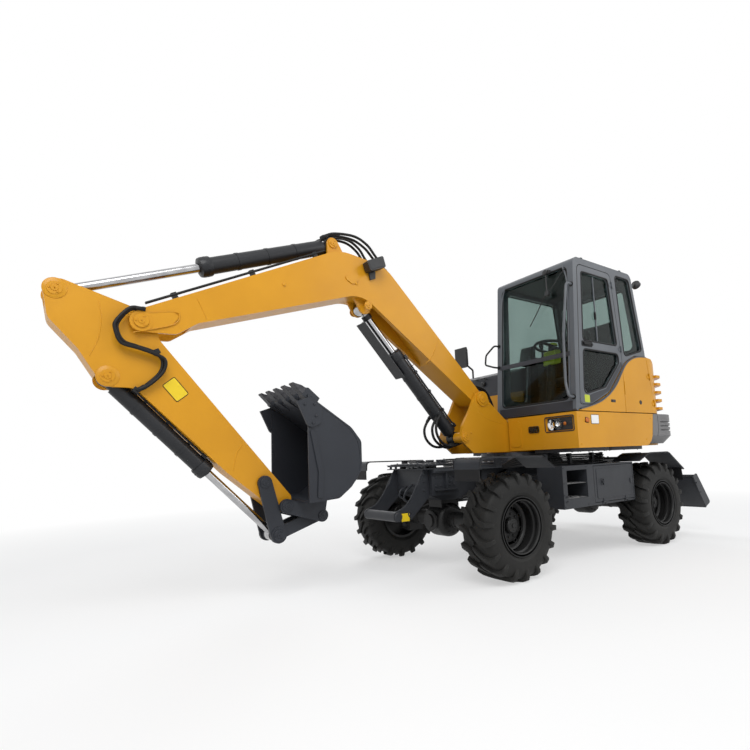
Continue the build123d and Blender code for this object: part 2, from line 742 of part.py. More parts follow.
def skirts():
    """Lower body panels on both sides and the front panel with its lamp recess."""
    low = SKIRT_LOW
    high = BELT_Z
    left = side_slab(skirt_profile(BODY_FRONT, 0), BODY_HALF - SKIRT_T, BODY_HALF)
    right = side_slab(skirt_profile(RIGHT_FRONT, 0), -BODY_HALF, -BODY_HALF + SKIRT_T)
    front = block(BRACKET_HALF + BRACKET_T + 16, BODY_HALF, BODY_FRONT, BODY_FRONT + SKIRT_T, low, high)
    recess = block(LAMP_IN, LAMP_OUT, BODY_FRONT - 1, BODY_FRONT + LAMP_DEPTH, LAMP_LOW, LAMP_HIGH)
    recess = fillet(recess.edges().filter_by(Axis.Y), 16)
    front = front - recess
    panel = block(PANEL_IN, PANEL_OUT, BODY_FRONT - PRESS, BODY_FRONT + 1, LAMP_LOW - 118, high - 34)
    front += fillet(panel.edges().filter_by(Axis.Y), 40)
    right_front = block(-BODY_HALF, -190 - SEAT, RIGHT_FRONT, RIGHT_FRONT + SKIRT_T, PLATFORM_Z + 2, high)
    return Compound(children=[left + front, right + right_front])


def headlamp():
    """Lamp in the recess of the front panel, and the small dark marker beside it."""
    floor = BODY_FRONT + LAMP_DEPTH
    body = block(LAMP_IN + 40, LAMP_IN + 178, floor - 14, floor, LAMP_LOW + 14, LAMP_HIGH - 20)
    body = fillet(body.edges().filter_by(Axis.Y), 30)
    marker = block(LAMP_IN - 190, LAMP_IN - 74, BODY_FRONT - 10, BODY_FRONT, 1158, 1210)
    marker = fillet(marker.edges().filter_by(Axis.Y), 14)
    return Compound(children=[body, marker])



def right_cover():
    """Tank cover on the right of the cab, with a side wall that runs back to the hood."""
    outer = side_slab(
        [(RIGHT_FRONT, BELT_Z + SEAM, 0), (RIGHT_FRONT, CASE_LOW - SEAM, 0),
         (BULKHEAD_Y - SEAT, CASE_LOW - SEAM, 0), (BULKHEAD_Y - SEAT, BELT_Z + SEAM, 0)],
        -BODY_HALF, -20)
    inner = block(-BODY_HALF + PANEL_T, -20 - PANEL_T, RIGHT_FRONT + PANEL_T, BULKHEAD_Y + 1, BELT_Z, CASE_LOW - SEAM - PANEL_T)
    rear = hood_seam(SEAM)
    wall = side_slab(
        [(BULKHEAD_Y - 40, BELT_Z + SEAM, 0), (BULKHEAD_Y - 40, CASE_LOW - SEAM, 0),
         (seam_at(rear, CASE_LOW - SEAM), CASE_LOW - SEAM, 0), (rear[0][0], BELT_Z + SEAM, 0)],
        -BODY_HALF, -BODY_HALF + PANEL_T - 2)
    return outer - inner + wall


def right_case():
    """Dark upper case on the right, seated on the tank cover, from the front to the hood."""
    low = CASE_LOW - SEAM + SEAT
    outer = side_slab(
        [(RIGHT_FRONT, low, 0), (RIGHT_FRONT, CASE_TOP, 70), (RIGHT_FRONT + 420, CASE_TOP, 60),
         (BULKHEAD_Y - 20, HOOD_TOP - 8, 0), (BULKHEAD_Y - 20, low, 0)],
        -BODY_HALF, -24)
    outer = fillet(outer.edges().filter_by(Axis.Y, tolerance=0.2), 30)
    inner = side_slab(
        [(RIGHT_FRONT + PANEL_T, low - 1, 0), (RIGHT_FRONT + PANEL_T, CASE_TOP - PANEL_T, 46),
         (RIGHT_FRONT + 420, CASE_TOP - PANEL_T, 60), (BULKHEAD_Y - 20 - PANEL_T, HOOD_TOP - 8 - PANEL_T, 0),
         (BULKHEAD_Y - 20 - PANEL_T, low - 1, 0)],
        -BODY_HALF + PANEL_T, -24 - PANEL_T)
    rear = hood_seam(SEAM)
    wall = side_slab(
        [(BULKHEAD_Y - 60, low, 0), (BULKHEAD_Y - 60, HOOD_TOP - 60, 0), (rear[2][0], HOOD_TOP - 60, 0),
         rear[1], (seam_at(rear, low), low, 0)],
        -BODY_HALF, -BODY_HALF + PANEL_T - 2)
    return outer - inner + wall



def counterweight():
    """Cast weight round the tail, with a chamfered lower edge, a groove and three slots at each corner."""
    body = tail_slab(0, TAIL_R, 0, WEIGHT_LOW, BELT_Z)
    low_edges = body.edges().filter_by(lambda e: abs(e.center().Z - WEIGHT_LOW) < 0.01 and e.center().Y > 1)
    body = chamfer(low_edges, WEIGHT_CHAMFER)
    body -= tail_slab(-10, TAIL_R, WEIGHT_WALL, WEIGHT_LOW - 1, BELT_Z + 1)
    body -= side_slab(skirt_profile(-20, SEAM), -BODY_HALF - 1, BODY_HALF + 1)
    rim = tail_slab(0, TAIL_R, -5, WEIGHT_LOW - 5, BELT_Z + 5) - tail_slab(0, TAIL_R, 14, WEIGHT_LOW - 6, BELT_Z + 6)
    groove = side_slab(
        [(GROOVE_Y - 60, WEIGHT_LOW - 4, 0), (GROOVE_Y, 1150, 140), (GROOVE_Y, BELT_Z + 4, 0),
         (GROOVE_Y + 9, BELT_Z + 4, 0), (GROOVE_Y + 9, 1150, 140), (GROOVE_Y - 51, WEIGHT_LOW - 4, 0)],
        BODY_HALF - 10, BODY_HALF + 4)
    body -= twin(groove)
    for z in SLOT_HEIGHTS:
        cut = rim & block(SLOT_IN, BODY_HALF + 6, GROOVE_Y + 50, TAIL_R, z - 7, z + 7)
        body -= twin(cut)
    return body



HOOD_AXIS = (HOOD_FRONT - 3, HOOD_TOP + HINGE_R + 1)
HOOD_HINGE_X = BODY_HALF - 345


def bulkhead():
    """Upright plate between cab and engine that carries the hinges of the hood and of the service door."""
    half = BODY_HALF - PANEL_T - 2
    low_half = BODY_HALF - WEIGHT_WALL - 1
    body = block(-half + 1, half - 1, BULKHEAD_Y, BULKHEAD_Y + BULKHEAD_T, BELT_Z + SEAT, HOOD_TOP - 6)
    body += block(-low_half, low_half, BULKHEAD_Y, BULKHEAD_Y + BULKHEAD_T, PLATFORM_Z + PLATFORM_T + SEAT, BELT_Z + 1)
    z = HOOD_AXIS[1]
    for x in (-HOOD_HINGE_X, HOOD_HINGE_X):
        body += cross(HOOD_AXIS, HINGE_PIN, x - 40, x + 40)
        for end in (-1, 1):
            body += cross(HOOD_AXIS, HINGE_R, x + end * 24, x + end * 40)
            body += block(x + end * 24, x + end * 40, BULKHEAD_Y, BULKHEAD_Y + BULKHEAD_T, HOOD_TOP - 16, z)
    for place, fixed, moving in side_hinges():
        body += fixed
    return body



def hood_shell(grow):
    """Closed body of the hood, drawn in by grow."""
    seam = hood_seam(0)
    profile = seam[:2] + [(HOOD_FRONT, HOOD_TOP - grow, 0), (HOOD_SLOPE_Y, HOOD_TOP - 8 - grow, 120),
                          (HOOD_R + 60 - grow, HOOD_REAR_Z, 220), (HOOD_R + 60 - grow, BELT_Z + SEAM, 0)]
    if grow > 0:
        low = BELT_Z - grow
        profile = [(HOOD_FRONT - 40, low, 0), (HOOD_FRONT - 40, HOOD_TOP - grow, 0)] + profile[3:5]
        profile.append((HOOD_R + 60 - grow, low, 0))
    side = side_slab(profile, -BODY_HALF, BODY_HALF)
    return side & tail_slab(HOOD_FRONT - 60, HOOD_R, grow, BELT_Z - 40, HOOD_TOP + 40)


def hood():
    """Rear engine hood, one thick shell with louvres at its corners, that lifts at its top edge."""
    outer = hood_shell(0)
    body = outer
    reach = tail_slab(HOOD_SEAM_LOW + 60, HOOD_R, -LOUVRE_REACH, BELT_Z, HOOD_TOP)
    for z in LOUVRE_HEIGHTS:
        fin = reach & block(LOUVRE_IN, BODY_HALF, LOUVRE_FRONT, TAIL_R, z - LOUVRE_T / 2, z + LOUVRE_T / 2)
        body += twin(fin)
    body -= hood_shell(PANEL_T)
    for x in (-HOOD_HINGE_X, HOOD_HINGE_X):
        knuckle = cross(HOOD_AXIS, HINGE_R, x - 22, x + 22)
        knuckle += block(x - 22, x + 22, HOOD_AXIS[0], HOOD_AXIS[0] + 50, HOOD_TOP - 1, HOOD_TOP + 5)
        body += knuckle - cross(HOOD_AXIS, HINGE_PIN + FIT, x - 23, x + 23)
    return body



def engine():
    """Engine as one plain block on the platform."""
    return block(-450, 450, 940, 1330, PLATFORM_Z + PLATFORM_T, 1640)


# Cab

def cab_outline(inset):
    """Side-view corners of the cab, drawn in by inset."""
    return [(CAB_FRONT_LOW + inset, CAB_LOW + inset, 20), (CAB_FRONT_TOP + inset, CAB_TOP - inset, CAB_EDGE_R),
            (CAB_REAR - CAB_RAKE - inset, CAB_TOP - inset, CAB_EDGE_R), (CAB_REAR - inset, CAB_BEND, 60),
            (CAB_REAR - inset, CAB_LOW + inset, 20)]



def front_at(z):
    """Y of the cab's front face at a height."""
    share = (z - CAB_LOW) / (CAB_TOP - CAB_LOW)
    return CAB_FRONT_LOW + share * (CAB_FRONT_TOP - CAB_FRONT_LOW)


def rear_at(z):
    """Y of the cab's rear face at a height above its bend."""
    share = (z - CAB_BEND) / (CAB_TOP - CAB_BEND)
    return CAB_REAR - share * CAB_RAKE



def door_outline(inset):
    """Side-view corners of the door opening, drawn in by inset."""
    front = PILLAR * 0.9
    return [(front_at(1372) + front + inset, 1372 + inset, 30), (front_at(2676) + front + inset, 2676 - inset, 60),
            (380 - inset, 2676 - inset, 60), (DOOR_REAR - inset, 1840, 60), (DOOR_REAR - inset, 1760 + inset, 120),
            (200 - inset, 1494 + inset, 200), (-80, 1378 + inset, 200)]


def cab_hinges():
    """Both hinges of the cab door along its raked rear edge, each as fixed and moving half."""
    x = CAB_LEFT + HINGE_OUT
    rake = (DOOR_REAR - 380) / (2676 - 1840)
    along = Vector(0, -rake, 1).normalized()
    reach = Vector(0, -1, -rake).normalized()
    return [hinge_halves(Vector(x, DOOR_REAR - DOOR_GAP / 2 - (z - 1840) * rake, z), along, reach) for z in (1930, 2560)]


QUARTER = [(DOOR_REAR + 46, 1868, 30), (462, 2672, 50), (rear_at(2672) - 54, 2672, 60), (CAB_REAR - 50, 1952, 40)]
RIGHT_WINDOW = [(-160, 1500, 60), (-100, 2640, 60), (rear_at(2640) - 72, 2640, 60), (CAB_REAR - 110, 1960, 50),
                (RIGHT_FRONT + 30, 1940, 60), (RIGHT_FRONT - 30, 1500, 60)]


def cab_frame():
    """Hollow cab of thick panels with its windows and doorway cut out."""
    outer = side_slab(cab_outline(0), CAB_RIGHT, CAB_LEFT)
    inner = side_slab(cab_outline(CAB_WALL), CAB_RIGHT + CAB_WALL, CAB_LEFT - CAB_WALL)
    body = outer - inner
    doorway = side_slab(door_outline(0), CAB_LEFT - CAB_WALL - 20, CAB_LEFT + 20)
    quarter = side_slab(QUARTER, CAB_LEFT - CAB_WALL - 20, CAB_LEFT + 20)
    right = side_slab(RIGHT_WINDOW, CAB_RIGHT - 20, CAB_RIGHT + CAB_WALL + 20)
    windscreen = plan_window(CAB_RIGHT + 66, CAB_LEFT - 66, 1420, 2660, CAB_FRONT_LOW - 40, 0)
    back = plan_window(CAB_RIGHT + 90, CAB_LEFT - 90, 1980, 2600, CAB_REAR - 240, CAB_REAR + 40)
    rebate = swept_side(BODY_HALF - PANEL_T - SEAT, BODY_HALF + 20, 8)
    body = body - doorway - quarter - right - windscreen - back - rebate
    low = SCREEN_BAR_Z - 17
    high = SCREEN_BAR_Z + 17
    body += side_slab(
        [(front_at(low) - 6, low, 0), (front_at(high) - 6, high, 0), (front_at(high) + 19, high, 0), (front_at(low) + 19, low, 0)],
        CAB_RIGHT + CAB_WALL, CAB_LEFT - CAB_WALL)
    for fixed, moving in cab_hinges():
        body += fixed
    return body


def plan_window(x0, x1, z0, z1, y0, y1, inset=0):
    """Block with rounded edges, for a window in the front or back wall and for its pane."""
    cutter = block(x0 + inset, x1 - inset, y0, y1, z0 + inset, z1 - inset)
    return fillet(cutter.edges().filter_by(Axis.Y), 60 - inset)


def cab_glass():
    """Fixed panes of the cab."""
    screen = plan_window(CAB_RIGHT + 66, CAB_LEFT - 66, 1420, 2660, CAB_FRONT_LOW - 40, 0, PANE_GAP)
    low = front_at(CAB_LOW) + 20
    high = front_at(CAB_TOP) + 20
    sheet = side_slab(
        [(low, CAB_LOW, 0), (high, CAB_TOP, 0), (high + GLASS_T, CAB_TOP, 0), (low + GLASS_T, CAB_LOW, 0)],
        CAB_RIGHT, CAB_LEFT)
    back = plan_window(CAB_RIGHT + 90, CAB_LEFT - 90, 1980, 2600, CAB_REAR - 240, CAB_REAR + 40, PANE_GAP)
    low = rear_at(CAB_BEND) - 26
    high = rear_at(CAB_TOP) - 26
    rear_sheet = side_slab(
        [(low, CAB_BEND, 0), (high, CAB_TOP, 0), (high + GLASS_T, CAB_TOP, 0), (low + GLASS_T, CAB_BEND, 0)],
        CAB_RIGHT, CAB_LEFT)
    return Compound(children=[pane(QUARTER, CAB_LEFT - 26), pane(RIGHT_WINDOW, CAB_RIGHT + 20),
                              sheet & screen, rear_sheet & back])



DOOR_UPPER = [(front_at(1960) + 124, 1960, 30), (front_at(2600) + 120, 2610, 40), (330, 2610, 50), (400, 1960, 30)]
DOOR_LOWER = [(front_at(1480) + 124, 1466, 60), (front_at(1880) + 124, 1880, 30), (404, 1880, 30), (408, 1790, 60),
              (150, 1546, 100)]


def cab_door():
    """Door frame with two window openings."""
    body = side_slab(door_outline(DOOR_GAP), CAB_LEFT - CAB_WALL + 4, CAB_LEFT)
    upper = side_slab(DOOR_UPPER, CAB_LEFT - CAB_WALL - 10, CAB_LEFT + 10)
    lower = side_slab(DOOR_LOWER, CAB_LEFT - CAB_WALL - 10, CAB_LEFT + 10)
    body = body - upper - lower
    body += block(CAB_LEFT, CAB_LEFT + 5, -140, -60, 1920, 1945)
    for fixed, moving in cab_hinges():
        body += moving
    return body


def door_glass():
    """Two panes of the door."""
    return Compound(children=[pane(DOOR_UPPER, CAB_LEFT - 26), pane(DOOR_LOWER, CAB_LEFT - 26)])



def seat():
    """Operator's seat on its box."""
    floor = CAB_LOW + CAB_WALL
    base = block(330, 690, 300, 640, floor, floor + 260)
    cushion = block(290, 730, 230, 700, floor + 260, floor + 370)
    cushion = fillet(cushion.edges().filter_by(Axis.X).group_by(Axis.Z)[-1].sort_by(Axis.Y)[0], 40)
    back = side_slab([(640, floor + 360, 0), (700, floor + 360, 0), (800, floor + 960, 20), (740, floor + 960, 20)], 310, 710)
    return base + cushion + back



def console():
    """Steering column with its wheel, and the two control arms."""
    floor = CAB_LOW + CAB_WALL
    foot = Vector(500, -94, floor - 20)
    top = Vector(500, 20, floor + 620)
    lean = (top - foot).normalized()
    hub = Plane(origin=top + lean * 20, z_dir=lean)
    column = tube(foot, top + lean * 15, 45) - block(400, 600, -200, 0, floor - 100, floor)
    wheel = hub * Torus(175, 14) + hub * Box(350, 40, 12)
    return Compound(children=[column + wheel, block(180, 270, 160, 560, floor, floor + 560),
                              block(750, 840, 200, 560, floor, floor + 560)])


def bent_bar(stops, bend, radius):
    """Round bar through (x, y, z) stops with the same bend radius at each."""
    path = FilletPolyline(*[Vector(*stop) for stop in stops], radius=bend)
    section = Plane(origin=path @ 0, z_dir=path % 0) * Circle(radius)
    return sweep(section, path=path)


def handrails():
    """Grab rails at the two front corners of the cab."""
    def stop(x, z, out):
        return (x, front_at(z) - out, z)
    touch = 1.3
    left = [stop(940, 2470, touch), stop(940, 2470, 76), stop(902, 1983, 80), stop(914, 1560, 78),
            stop(940, 1440, 74), stop(940, 1440, touch)]
    right = [stop(44, 2070, touch), stop(44, 2070, 72), stop(-70, 1990, 76), stop(-78, 1890, 76),
             stop(44, 1846, 72), stop(44, 1846, touch)]
    return Compound(children=[bent_bar(left, 30, 11), bent_bar(right, 24, 9)])



def right_mirror():
    """Road mirror on its bent stay at the front right corner."""
    y = RIGHT_FRONT - 90
    head = plan_slab([(-962, y - 22, 8), (-962, y + 26, 8), (-772, y + 14, 8), (-772, y - 12, 8)], 2022, 2262)
    stay = bent_bar([(-868, y + 180, CASE_TOP + 0.1), (-868, y + 180, CASE_TOP + 110), (-868, y + 40, 2090),
                     (-868, y + 10, 2160)], 30, 11)
    return head + stay



# Backhoe front

def boom():
    """Gooseneck boom: box section, forked nose, foot tube and cylinder ears."""
    nose = BOOM_NOSE
    foot = BOOM_FOOT
    outline = [(nose[0] - 66, nose[1] + 20, 60), (nose[0] - 40, nose[1] + 62, 40), (-2130, 2665, 350), (-1690, 2610, 300),
               (foot[0] - 4, foot[1] + 88, 40), (foot[0] + 66, foot[1] + 10, 60), (foot[0] - 20, foot[1] - 70, 50),
               (-1931, 2328, 250), (-3200, 1916, 80), (-3330, 1826, 60), (nose[0] - 20, nose[1] - 68, 50)]
    body = side_slab(outline, -BOOM_HALF, BOOM_HALF)
    slot = side_slab(
        [(nose[0] - 120, 1700, 0), (nose[0] - 120, 2100, 0), (-3300, 2150, 60), (-3220, 1960, 80), (-3300, 1700, 0)],
        -BOOM_HALF + FORK_T, BOOM_HALF - FORK_T)
    body = body - slot
    body += twin(cross(nose, BOSS_R + 4, BOOM_HALF - 4, BOOM_HALF + 12))
    body += cross(nose, BOOM_PIN_R, -BOOM_HALF, BOOM_HALF)
    body += twin(cross(foot, BOSS_R, BOOM_HALF - 2, BRACKET_HALF - 1))
    body -= cross(foot, BOOM_PIN_R + FIT, -BRACKET_HALF, BRACKET_HALF)
    pin = ARM_CYL_BASE
    ear = strap([(*pin, 50), (pin[0] + 10, 2600, 60), (pin[0] + 110, 2560, 40)], EYE_SLOT, EYE_SLOT + EAR_T)
    body += twin(ear)
    body += cross(pin, BOOM_PIN_R, -EYE_SLOT - 2, EYE_SLOT + 2)
    pin = BOOM_CYL_TOP
    body -= strap([(*pin, 72), (pin[0] + 84, pin[1] + 92, 68), (pin[0] + 50, pin[1] + 104, 68)], -EYE_SLOT, EYE_SLOT)
    body -= strap([(pin[0] + 150, pin[1] + 5, 88), (pin[0] + 575, pin[1] - 440, 90), (pin[0] + 180, pin[1] - 200, 84)], -80, 80)
    ear = strap([(*pin, 58), (pin[0] - 60, pin[1] + 90, 50), (pin[0] + 60, pin[1] + 90, 40)], EYE_SLOT, EYE_SLOT + EAR_T)
    body += twin(ear)
    doubler = side_slab(
        [(nose[0] - 76, nose[1] + 31, 50), (-3360, 1970, 30), (-3316, 1944, 20), (-3359, 1882, 30),
         (nose[0] - 47, nose[1] - 80, 50)],
        BOOM_HALF - 1, BOOM_HALF + 8)
    return body + twin(doubler)


def boom_pipes():
    """Two steel oil pipes along the top of the boom in three clamps."""
    run = offset_points(BOOM_CREST, BOOM_NOSE_TOP, *PIPE_START)
    stop = offset_points(BOOM_CREST, BOOM_NOSE_TOP, *PIPE_END)
    body = None
    for along in PIPE_CLAMPS:
        corners = [offset_points(BOOM_CREST, BOOM_NOSE_TOP, along + a, -b) for a, b in ((0, 0.05), (34, 0.05), (34, 40), (0, 40))]
        clamp = side_slab([(y, z, 0) for y, z in corners], PIPE_X[0] - 6, BOOM_HALF - 2)
        body = clamp if body is None else body + clamp
    for x in PIPE_X:
        body += tube(point(run, x), point(stop, x), PIPE_R)
    return body


def boom_lamp():
    """Work lamp on a small bracket on the left side of the boom."""
    body = side_slab([(-1925, 2586, 14), (-1768, 2661, 14), (-1741, 2570, 14), (-1893, 2505, 14)],
                     BOOM_HALF + 14, BOOM_HALF + 92)
    body += side_slab([(-1870, 2560, 0), (-1800, 2590, 0), (-1800, 2480, 0), (-1850, 2460, 0)],
                      BOOM_HALF + 0.05, BOOM_HALF + 15)
    return body



def arm():
    """Arm: box section with its pivot boss, cylinder ears and tip."""
    top = ARM_TOP
    foot = BUCKET_CYL_BASE
    tip = ARM_TIP
    outline = [(top[0] - 62, top[1] + 20, 60), (top[0] + 20, top[1] + 66, 60), (-3440, 1936, 90), (-3430, 1790, 60),
               (tip[0] + 60, tip[1] + 60, 40), (tip[0] + 20, tip[1] - 70, 60), (tip[0] - 80, tip[1] - 10, 60),
               (-3000, 920, 60), (-3560, 1470, 90), (foot[0], foot[1] - 64, 60), (foot[0] - 66, foot[1] + 10, 60),
               (-3860, 1690, 90), (-4010, 1860, 90)]
    body = side_slab(outline, -ARM_HALF, ARM_HALF)
    fork_top = block(-EYE_SLOT, EYE_SLOT, top[0] - 200, top[0] + 400, top[1] - 58, top[1] + 200)
    fork_top += block(-EYE_SLOT, EYE_SLOT, top[0] - 140, top[0] + 130, top[1] - 94, top[1])
    fork_foot = cross(foot, 62, -FOOT_SLOT, FOOT_SLOT)
    joint = LINK_JOINT
    channel = side_slab(
        [(*offset_points(foot, joint, -10, -80), 0), (*offset_points(foot, joint, 500, -100), 0),
         (*offset_points(foot, joint, 500, 66), 0), (*offset_points(foot, joint, -10, 62), 0)],
        -FOOT_SLOT, FOOT_SLOT)
    fork_foot += channel
    body = body - fork_top - fork_foot
    body += twin(cross(BOOM_NOSE, BOSS_R, ARM_HALF - 2, BOOM_HALF - FORK_T - 1))
    body += twin(cross(LINK_ON_ARM, 44, ARM_HALF - 2, GUIDE_X - 1))
    body -= cross(BOOM_NOSE, BOOM_PIN_R + FIT, -BOOM_HALF, BOOM_HALF)
    body -= cross(LINK_ON_ARM, 26 + FIT, -GUIDE_X, GUIDE_X)
    body -= cross(tip, 28 + FIT, -GUIDE_X, GUIDE_X)
    body += cross(foot, BOOM_PIN_R, -FOOT_SLOT - 2, FOOT_SLOT + 2)
    return body


def bucket():
    """Bucket shell with side plates, ears, teeth and side cutters."""
    outer = [(-2530, 1440, 0), (-2190, 1212, 110), (-2108, 1110, 60), (-2108, 900, 130), (-2200, 780, 80),
             (-2300, 706, 50), (-2530, 690, 0)]
    shell = side_slab(outer, -BUCKET_HALF, BUCKET_HALF)
    inside = [(-2620, 1484, 0), (-2204, 1200, 96), (-2123, 1100, 50), (-2123, 906, 116), (-2212, 794, 70),
              (-2306, 722, 40), (-2700, 704, 0)]
    hollow = side_slab(inside, -BUCKET_HALF + BUCKET_T, BUCKET_HALF - BUCKET_T)
    body = shell - hollow
    tip = ARM_TIP
    link = LINK_ON_BUCKET
    ear = strap([(*tip, 50), (*link, 46)], BUCKET_EAR_X, BUCKET_EAR_X + BUCKET_EAR_T)
    ear += side_slab(
        [(tip[0] + 20, tip[1], 0), (-2515, 700, 0), (-2292, 712, 0), (link[0] + 20, link[1], 0)],
        BUCKET_EAR_X, BUCKET_EAR_X + BUCKET_EAR_T)
    ear += cross(tip, 40, ARM_HALF + 4, BUCKET_EAR_X + 1)
    body += twin(ear)
    body += cross(tip, 28, -BUCKET_EAR_X - 2, BUCKET_EAR_X + 2)
    lip = (-2530, 1440)
    back = (-2170, 1196)
    length = gap(back, lip)
    for i in range(TEETH):
        x = (i - (TEETH - 1) / 2) * TOOTH_PITCH
        base_top = offset_points(back, lip, length - 90, 16)
        base_low = offset_points(back, lip, length - 90, -34)
        tip_top = offset_points(back, lip, length + TOOTH_REACH, -2)
        tip_low = offset_points(back, lip, length + TOOTH_REACH, -12)
        neck_low = offset_points(back, lip, length + 10, -44)
        neck_top = offset_points(back, lip, length + 10, 22)
        tooth = side_slab(
            [(*base_top, 0), (*neck_top, 0), (*tip_top, 0), (*tip_low, 0), (*neck_low, 0), (*base_low, 0)],
            x - TOOTH_W / 2, x + TOOTH_W / 2)
        body += tooth
    cutter = side_slab(
        [(-2618, 1388, 0), (-2530, 1420, 0), (-2430, 1350, 0), (-2440, 1240, 40), (-2530, 1200, 40)],
        BUCKET_HALF - 1, BUCKET_HALF + 16)
    return body + twin(cutter)


def guide_links():
    """Pair of guide links between arm and rod joint, with the joint pin."""
    start = LINK_ON_ARM
    end = LINK_JOINT
    plate = strap([(*start, 50), (*end, 56)], GUIDE_X, GUIDE_X + GUIDE_T)
    plate += cross(end, 56, GUIDE_X - 2, GUIDE_X + GUIDE_T + 8)
    body = twin(plate)
    body += twin(cross(end, 28, EYE_SLOT - 2, GUIDE_X + 1))
    body += cross(start, 26, -GUIDE_X - 2, GUIDE_X + 2)
    return Compound(children=list(body.solids()))


def bucket_link():
    """Link from the rod joint to the bucket ears."""
    start = LINK_JOINT
    end = LINK_ON_BUCKET
    span = gap(start, end)
    plate = strap([(*start, 44), (*end, 44)], EYE_SLOT, EYE_SLOT + 30)
    plate -= cross(start, 28 + FIT, 40, 90)
    body = twin(plate)
    body += cross(end, 34, -BUCKET_EAR_X + 2, BUCKET_EAR_X - 2)
    rib = side_slab(
        [(*offset_points(start, end, 150, -20), 0), (*offset_points(start, end, span, -30), 0),
         (*offset_points(start, end, span, 30), 0), (*offset_points(start, end, 150, 20), 0)],
        -47, 47)
    return body + rib


def barrel(base, top, length, radius, bottom, pin_r, half):
    """Cylinder barrel: foot eye, tube and gland, bored from bottom to its open end."""
    eye = cross(base, radius * 0.95, -half, half)
    end = toward(base, top, length)
    body = tube(point(toward(base, top, radius + 18)), point(end), radius)
    body += tube(point(base), point(toward(base, top, radius + 22)), half - 1)
    body += tube(point(toward(base, top, length - 70)), point(end), radius + 6)
    hole = tube(point(toward(base, top, bottom)), point(toward(base, top, length + 5)), radius * 0.5 + FIT)
    return body + eye - cross(base, pin_r, -half - 1, half + 1) - hole



def piston_rod(base, top, inner_end, radius, half, eye_r):
    """Piston rod with its eye, reaching into the barrel as far as inner_end."""
    start = point(toward(base, top, inner_end))
    rod = tube(start, point(toward(base, top, gap(base, top) - eye_r * 0.5)), radius * 0.5)
    return rod + cross(top, eye_r, -half, half)


def rod_guard():
    """Guard plate under the boom cylinder's rod, held by a collar beside the rod's eye."""
    top = BOOM_CYL_TOP
    base = BOOM_CYL_BASE

    def plate(start, end, near, far, half):
        corners = [offset_points(top, base, *corner) for corner in ((start, near), (end, near), (end, far), (start, far))]
        return side_slab([(y, z, 0) for y, z in corners], -half, half)

    body = plate(GUARD_START, GUARD_END, -GUARD_GAP, -GUARD_GAP - 8, GUARD_HALF)
    body += plate(GUARD_START, 106, -30, -GUARD_GAP - 1, 12)
    body += tube(point(toward(top, base, 64)), point(toward(top, base, 106)), 42)
    return body - tube(point(toward(top, base, 60)), point(toward(top, base, 110)), 31.3)



CYLINDERS = {
    # name: base pin, top pin, barrel length, barrel radius, half width of its eyes, eye radius, base pin radius,
    # place of the rod's inner end
    "arm": (ARM_CYL_BASE, ARM_TOP, 1076, 60, 42, 50, BOOM_PIN_R, 760),
    "bucket": (BUCKET_CYL_BASE, LINK_JOINT, 845, 52, 42, 46, BOOM_PIN_R, 650),
    "boom": (BOOM_CYL_BASE, BOOM_CYL_TOP, 1000, 62, 42, 52, BOOM_PIN_R, 470),
    "blade": (BLADE_FOOT_PIN, BLADE_ROD_PIN, 350, 38, 30, 28, RAM_PIN_R, 150),
}


def cylinder_pair(name):
    """Barrel and rod of one named cylinder."""
    base, top, length, radius, half, eye_r, pin_r, inner_end = CYLINDERS[name]
    bottom = radius + 30
    outer = barrel(base, top, length, radius, bottom, pin_r + FIT, half)
    inner = piston_rod(base, top, inner_end, radius, half, eye_r)
    return outer, inner



parts = {}
for label, side, y in (("front_left", 1, -WHEELBASE / 2), ("front_right", -1, -WHEELBASE / 2),
                       ("rear_left", 1, WHEELBASE / 2), ("rear_right", -1, WHEELBASE / 2)):
    parts["tyre_" + label] = tyre(side * TRACK / 2, y, side)
    parts["rim_" + label] = rim(side * TRACK / 2, y, side)
parts["front_axle"] = front_axle()
parts["rear_axle"] = rear_axle()
parts["knuckle_left"] = knuckle(1)
parts["knuckle_right"] = knuckle(-1)
parts["chassis_frame"] = chassis()
parts["front_cradle"] = front_cradle()
parts["front_deck"] = front_deck()
parts["fenders"] = fenders()
parts["step_box_left"] = side_box(1)
parts["step_box_right"] = side_box(-1)
parts["toolbox_door_left"] = tool_door(1)
parts["toolbox_door_right"] = tool_door(-1)
parts["drive_line"] = drive_line()
parts["slew_ring"] = slew_ring()
parts["dozer_blade"] = blade()
parts["turntable"] = turntable()
parts["left_cover"] = left_cover()
parts["side_door"] = side_door()
parts["body_skirts"] = skirts()
parts["right_cover"] = right_cover()
parts["right_case"] = right_case()
parts["headlamp"] = headlamp()
parts["handrails"] = handrails()
parts["right_mirror"] = right_mirror()
parts["counterweight"] = counterweight()
parts["engine_bulkhead"] = bulkhead()
parts["engine_hood"] = hood()
parts["engine_block"] = engine()
parts["cab_frame"] = cab_frame()
parts["cab_glass"] = cab_glass()
parts["cab_door"] = cab_door()
parts["door_glass"] = door_glass()
parts["operator_seat"] = seat()
parts["cab_controls"] = console()
parts["boom"] = boom()
parts["boom_pipes"] = boom_pipes()
parts["boom_lamp"] = boom_lamp()
parts["arm"] = arm()
parts["bucket"] = bucket()
parts["guide_links"] = guide_links()
parts["bucket_link"] = bucket_link()
for name in CYLINDERS:
    outer, inner = cylinder_pair(name)
    parts[name + "_cylinder_barrel"] = outer
    parts[name + "_cylinder_rod"] = inner
parts["boom_rod_guard"] = rod_guard()

os.makedirs("parts", exist_ok=True)
front_end = parts["arm"].bounding_box().min.Y
rear_end = parts["dozer_blade"].bounding_box().max.Y
home = Pos(0, -(front_end + rear_end) / 2, 0)
print("origin shift", -(front_end + rear_end) / 2)
for name, solid in parts.items():
    export_step(home * solid, os.path.join("parts", name + ".step"))
